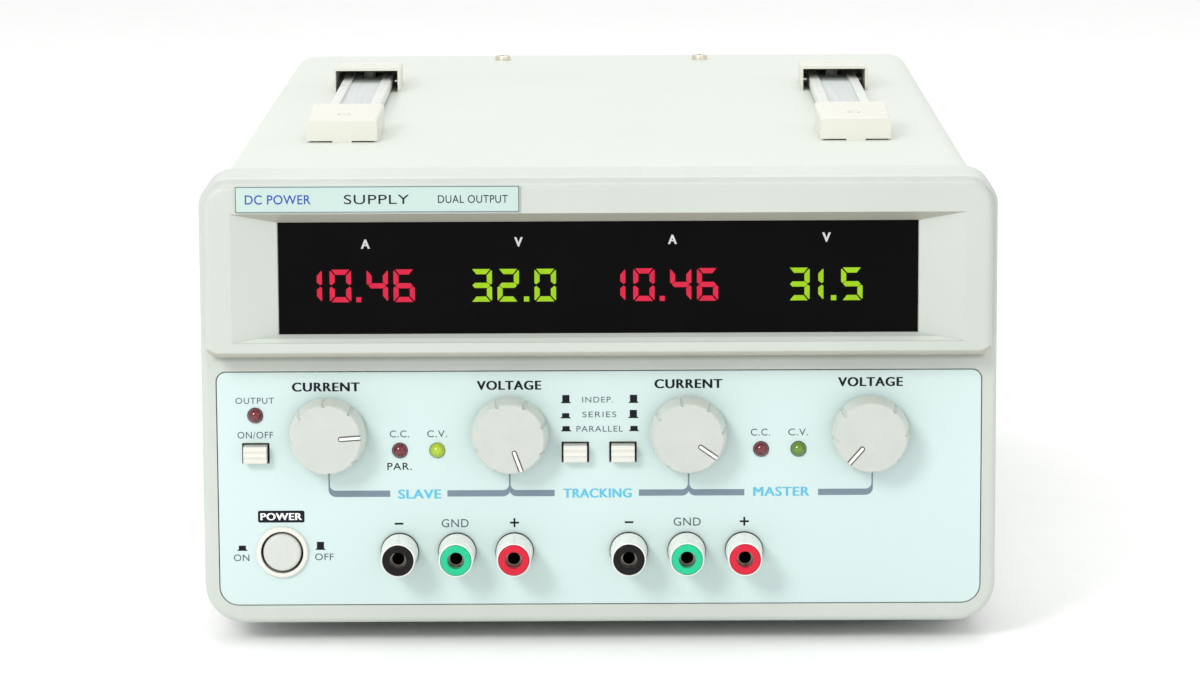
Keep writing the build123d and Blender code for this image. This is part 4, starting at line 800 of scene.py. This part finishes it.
raised("legend_button_marks", [
    hat(-10.6, PB + 65.7, True), hat(-10.7, PB + 60.75, False), hat(-10.6, PB + 56.5, False),
    hat(11.1, PB + 65.7, True), hat(11.0, PB + 60.75, True), hat(11.2, PB + 56.5, False),
    hat(-115.2, PB + 17.8, False), hat(-90.0, PB + 18.0, True)], PF, T, "ink_dark")
raised("legend_polarity", [
    [(x - 1.4, PB + z - 0.3), (x + 1.4, PB + z - 0.3), (x + 1.4, PB + z + 0.3), (x - 1.4, PB + z + 0.3)]
    for x, z in ((-64.6, 26.5), (9.5, 26.7))] + [
    [(x - 1.45, PB + z - 0.3), (x - 0.3, PB + z - 0.3), (x - 0.3, PB + z - 1.45), (x + 0.3, PB + z - 1.45),
     (x + 0.3, PB + z - 0.3), (x + 1.45, PB + z - 0.3), (x + 1.45, PB + z + 0.3), (x + 0.3, PB + z + 0.3),
     (x + 0.3, PB + z + 1.45), (x - 0.3, PB + z + 1.45), (x - 0.3, PB + z + 0.3), (x - 1.45, PB + z + 0.3)]
    for x, z in ((-27.4, 26.7), (46.6, 26.85))], PF, T, "ink_dark")


def rounded_box(cx, cz, w, h, r):
    a, b = w / 2 - r, h / 2 - r
    return (arc(cx + a, cz - b, r, -90, 0) + arc(cx + a, cz + b, r, 0, 90)
            + arc(cx - a, cz + b, r, 90, 180) + arc(cx - a, cz - b, r, 180, 270))


raised("legend_power_plate", [rounded_box(-102.5, PB + 29.0, 15.0, 3.9, 0.6)], PF, T, "ink_black")
words("legend_power", [("POWER", -102.5, PB + 29.0, 13.4, 2.3, 0.004, 1.08, 0.12)], PF - T, 0.03, "ink_white")

# ------------------------------------------------------------------ readouts
W, H, TH = 108.0, 164.0, 26.0


def segments(ch):
    """Outlines of the lit segments of one digit, in a W x H box."""
    m, g = H / 2, 4.0
    a = [(9, H), (W - 9, H), (W - TH - 4, H - TH), (TH + 4, H - TH)]
    d = [(x, H - z) for x, z in a]
    gg = [(10, m), (22, m + TH / 2), (W - 22, m + TH / 2), (W - 10, m), (W - 22, m - TH / 2), (22, m - TH / 2)]
    f = [(0, H - 9), (4, H - 6), (TH, H - TH - 5), (TH, m + TH / 2 + 5), (9, m + 4), (0, m + 10)]
    e = [(x, H - z) for x, z in f]
    b = [(W - x, z) for x, z in f]
    c = [(W - x, z) for x, z in e]
    seg = {"a": a, "b": b, "c": c, "d": d, "e": e, "f": f, "g": gg}
    on = {"0": "abcdef", "1": "bc", "2": "abged", "3": "abgcd", "4": "fgbc", "5": "afgcd", "6": "afgecd"}[ch]
    return [seg[s] for s in on]


def readout(name, digits, dots, mat):
    """digits: (character, left, right); left and right are the whole digit's edges in mm."""
    z0, z1 = CASE_Z + 106.15, CASE_Z + 116.65
    shapes = []
    for ch, x0, x1 in digits:
        k, q = (x1 - x0) / W, (z1 - z0) / H
        for s in segments(ch):
            shapes.append([(x0 + u * k, z0 + v * q) for u, v in s])
    for x0, x1 in dots:
        h = 1.62
        shapes.append([(x0, z0), (x1, z0), (x1, z0 + h), (x0, z0 + h)])
    return raised(name, shapes, PANE_F, 0.06, mat)


DW = 6.84
readout("readout_slave_current", [("1", -87.79 - DW, -87.79), ("0", -85.37, -78.5), ("4", -73.61, -66.81), ("6", -65.09, -58.29)], [(-76.95, -75.35)], "lit_red")
readout("readout_slave_voltage", [("3", -40.62, -33.76), ("2", -32.04, -25.18), ("0", -20.28, -13.42)], [(-23.65, -21.98)], "lit_green")
readout("readout_master_current", [("1", 8.63 - DW, 8.63), ("0", 11.1, 17.9), ("4", 22.80, 29.60), ("6", 31.33, 38.1)], [(19.5, 21.15)], "lit_red")
readout("readout_master_voltage", [("3", 60.28, 67.14), ("1", 71.53 - DW, 71.53), ("5", 77.12, 83.95)], [(73.92, 75.62)], "lit_green")
# unit letters use the white painted-glow material
words("readout_units", [
    ("A", -73.85, CASE_Z + 124.8, 2.9, 2.95, 0.006, 1.0, 0.12), ("V", -25.25, CASE_Z + 125.3, 2.7, 3.0, 0.006, 1.0, 0.12),
    ("A", 23.6, CASE_Z + 125.9, 2.85, 2.95, 0.006, 1.0, 0.12), ("V", 72.45, CASE_Z + 126.4, 2.75, 3.0, 0.006, 1.0, 0.12)],
    PANE_F, 0.05, "letter_white_painted_glow")

# ----------------------------------------------------------------- nameplate
NX0, NX1, NZ0, NZ1 = PLATE_LO.x / MM, PLATE_HI.x / MM, PLATE_LO.z / MM, PLATE_HI.z / MM
NY = PLATE_LO.y / MM
NC = (NZ0 + NZ1) / 2


def outline(x0, x1, z0, z1, w):
    return [[(x0, z0), (x1, z0), (x1, z0 + w), (x0, z0 + w)], [(x0, z1 - w), (x1, z1 - w), (x1, z1), (x0, z1)],
            [(x0, z0 + w), (x0 + w, z0 + w), (x0 + w, z1 - w), (x0, z1 - w)],
            [(x1 - w, z0 + w), (x1, z0 + w), (x1, z1 - w), (x1 - w, z1 - w)]]


raised("plate_border", outline(NX0 + 0.15, NX1 - 0.15, NZ0 + 0.15, NZ1 - 0.15, 0.22), NY, 0.02, "ink_grey")
words("plate_text_blue", [("DC POWER", NX0 + 13.6, NC, 20.8, 3.0, 0.008, 1.05)], NY, 0.03, "ink_blue")
words("plate_text_dark", [("SUPPLY", NX0 + 44.8, NC, 20.6, 3.0, 0.0, 1.06), ("DUAL OUTPUT", NX0 + 75.2, NC, 22.0, 2.5, 0.0, 1.06)], NY, 0.03, "ink_dark")

# --------------------------------------------------------- floor and lights
bm = bmesh.new()
prof = [(-6.0, 0.0)] + [(2.2 + 1.6 * math.sin(math.radians(a)), 1.6 - 1.6 * math.cos(math.radians(a))) for a in range(0, 91, 6)] + [(3.8, 5.0)]
rows = [[bm.verts.new((x, y, z)) for y, z in prof] for x in (-6.0, 6.0)]
for i in range(len(prof) - 1):
    bm.faces.new((rows[0][i], rows[1][i], rows[1][i + 1], rows[0][i + 1]))
mesh = bpy.data.meshes.new("studio_sweep")
bm.to_mesh(mesh)
bm.free()
for p in mesh.polygons:
    p.use_smooth = True
sweep = bpy.data.objects.new("studio_sweep", mesh)
bpy.context.scene.collection.objects.link(sweep)
g = Graph("sweep_paper")
paper = g.noise(40.0, 3.0)
g.link(g.mix(g.span(paper, 0.3, 0.7, 0.0, 1.0), (0.955, 0.955, 0.952, 1), (0.975, 0.975, 0.972, 1)), g.p.inputs["Base Color"])
g.link(g.span(paper, 0.3, 0.7, 0.85, 0.95), g.p.inputs["Roughness"])
g.p.inputs["Specular IOR Level"].default_value = 0.1
sweep.data.materials.append(g.m)


def area(name, loc, target, size, power, col=(1, 1, 1), size_y=None):
    li = bpy.data.lights.new(name, "AREA")
    li.shape = "RECTANGLE"
    li.size = size
    li.size_y = size_y or size
    li.energy = power
    li.color = col
    ob = bpy.data.objects.new(name, li)
    bpy.context.scene.collection.objects.link(ob)
    ob.location = loc
    ob.rotation_euler = (Vector(target) - Vector(loc)).to_track_quat("-Z", "Y").to_euler()
    return ob


area("key_softbox", (-0.80, -1.50, 0.98), (0.0, -0.15, 0.08), 0.5, 13.2, (1.0, 0.997, 0.985))
area("fill_softbox", (1.5, -1.6, 0.9), (0.0, -0.1, 0.08), 1.2, 3.0, (0.98, 0.99, 1.0))
area("top_softbox", (0.0, 0.5, 1.9), (0.0, 0.1, 0.1), 1.6, 11.0)

world = bpy.data.worlds.new("studio")
bpy.context.scene.world = world
world.use_nodes = True
world.node_tree.nodes["Background"].inputs[0].default_value = (1.0, 1.0, 1.0, 1)
world.node_tree.nodes["Background"].inputs[1].default_value = 0.88
bpy.context.scene.view_settings.view_transform = "Standard"

# -------------------------------------------------------------------- camera
cam = bpy.data.cameras.new("camera")
cam.sensor_width = 36.0
cam.sensor_fit = "HORIZONTAL"
cam.lens = 136.74
cam.clip_start, cam.clip_end = 0.05, 50.0
cam_ob = bpy.data.objects.new("camera", cam)
bpy.context.scene.collection.objects.link(cam_ob)
pitch, yaw, roll = math.radians(9.323), math.radians(-0.229), math.radians(-0.285)
fwd = Vector((math.sin(yaw) * math.cos(pitch), math.cos(yaw) * math.cos(pitch), -math.sin(pitch)))
right = Vector((math.cos(yaw), -math.sin(yaw), 0.0))
up = right.cross(fwd)
r2 = math.cos(roll) * right + math.sin(roll) * up
u2 = -math.sin(roll) * right + math.cos(roll) * up
mat4 = Matrix((r2, u2, -fwd)).transposed().to_4x4()
mat4.translation = Vector((0.00619, -1.62972, 0.33665))
cam_ob.matrix_world = mat4
bpy.context.scene.camera = cam_ob
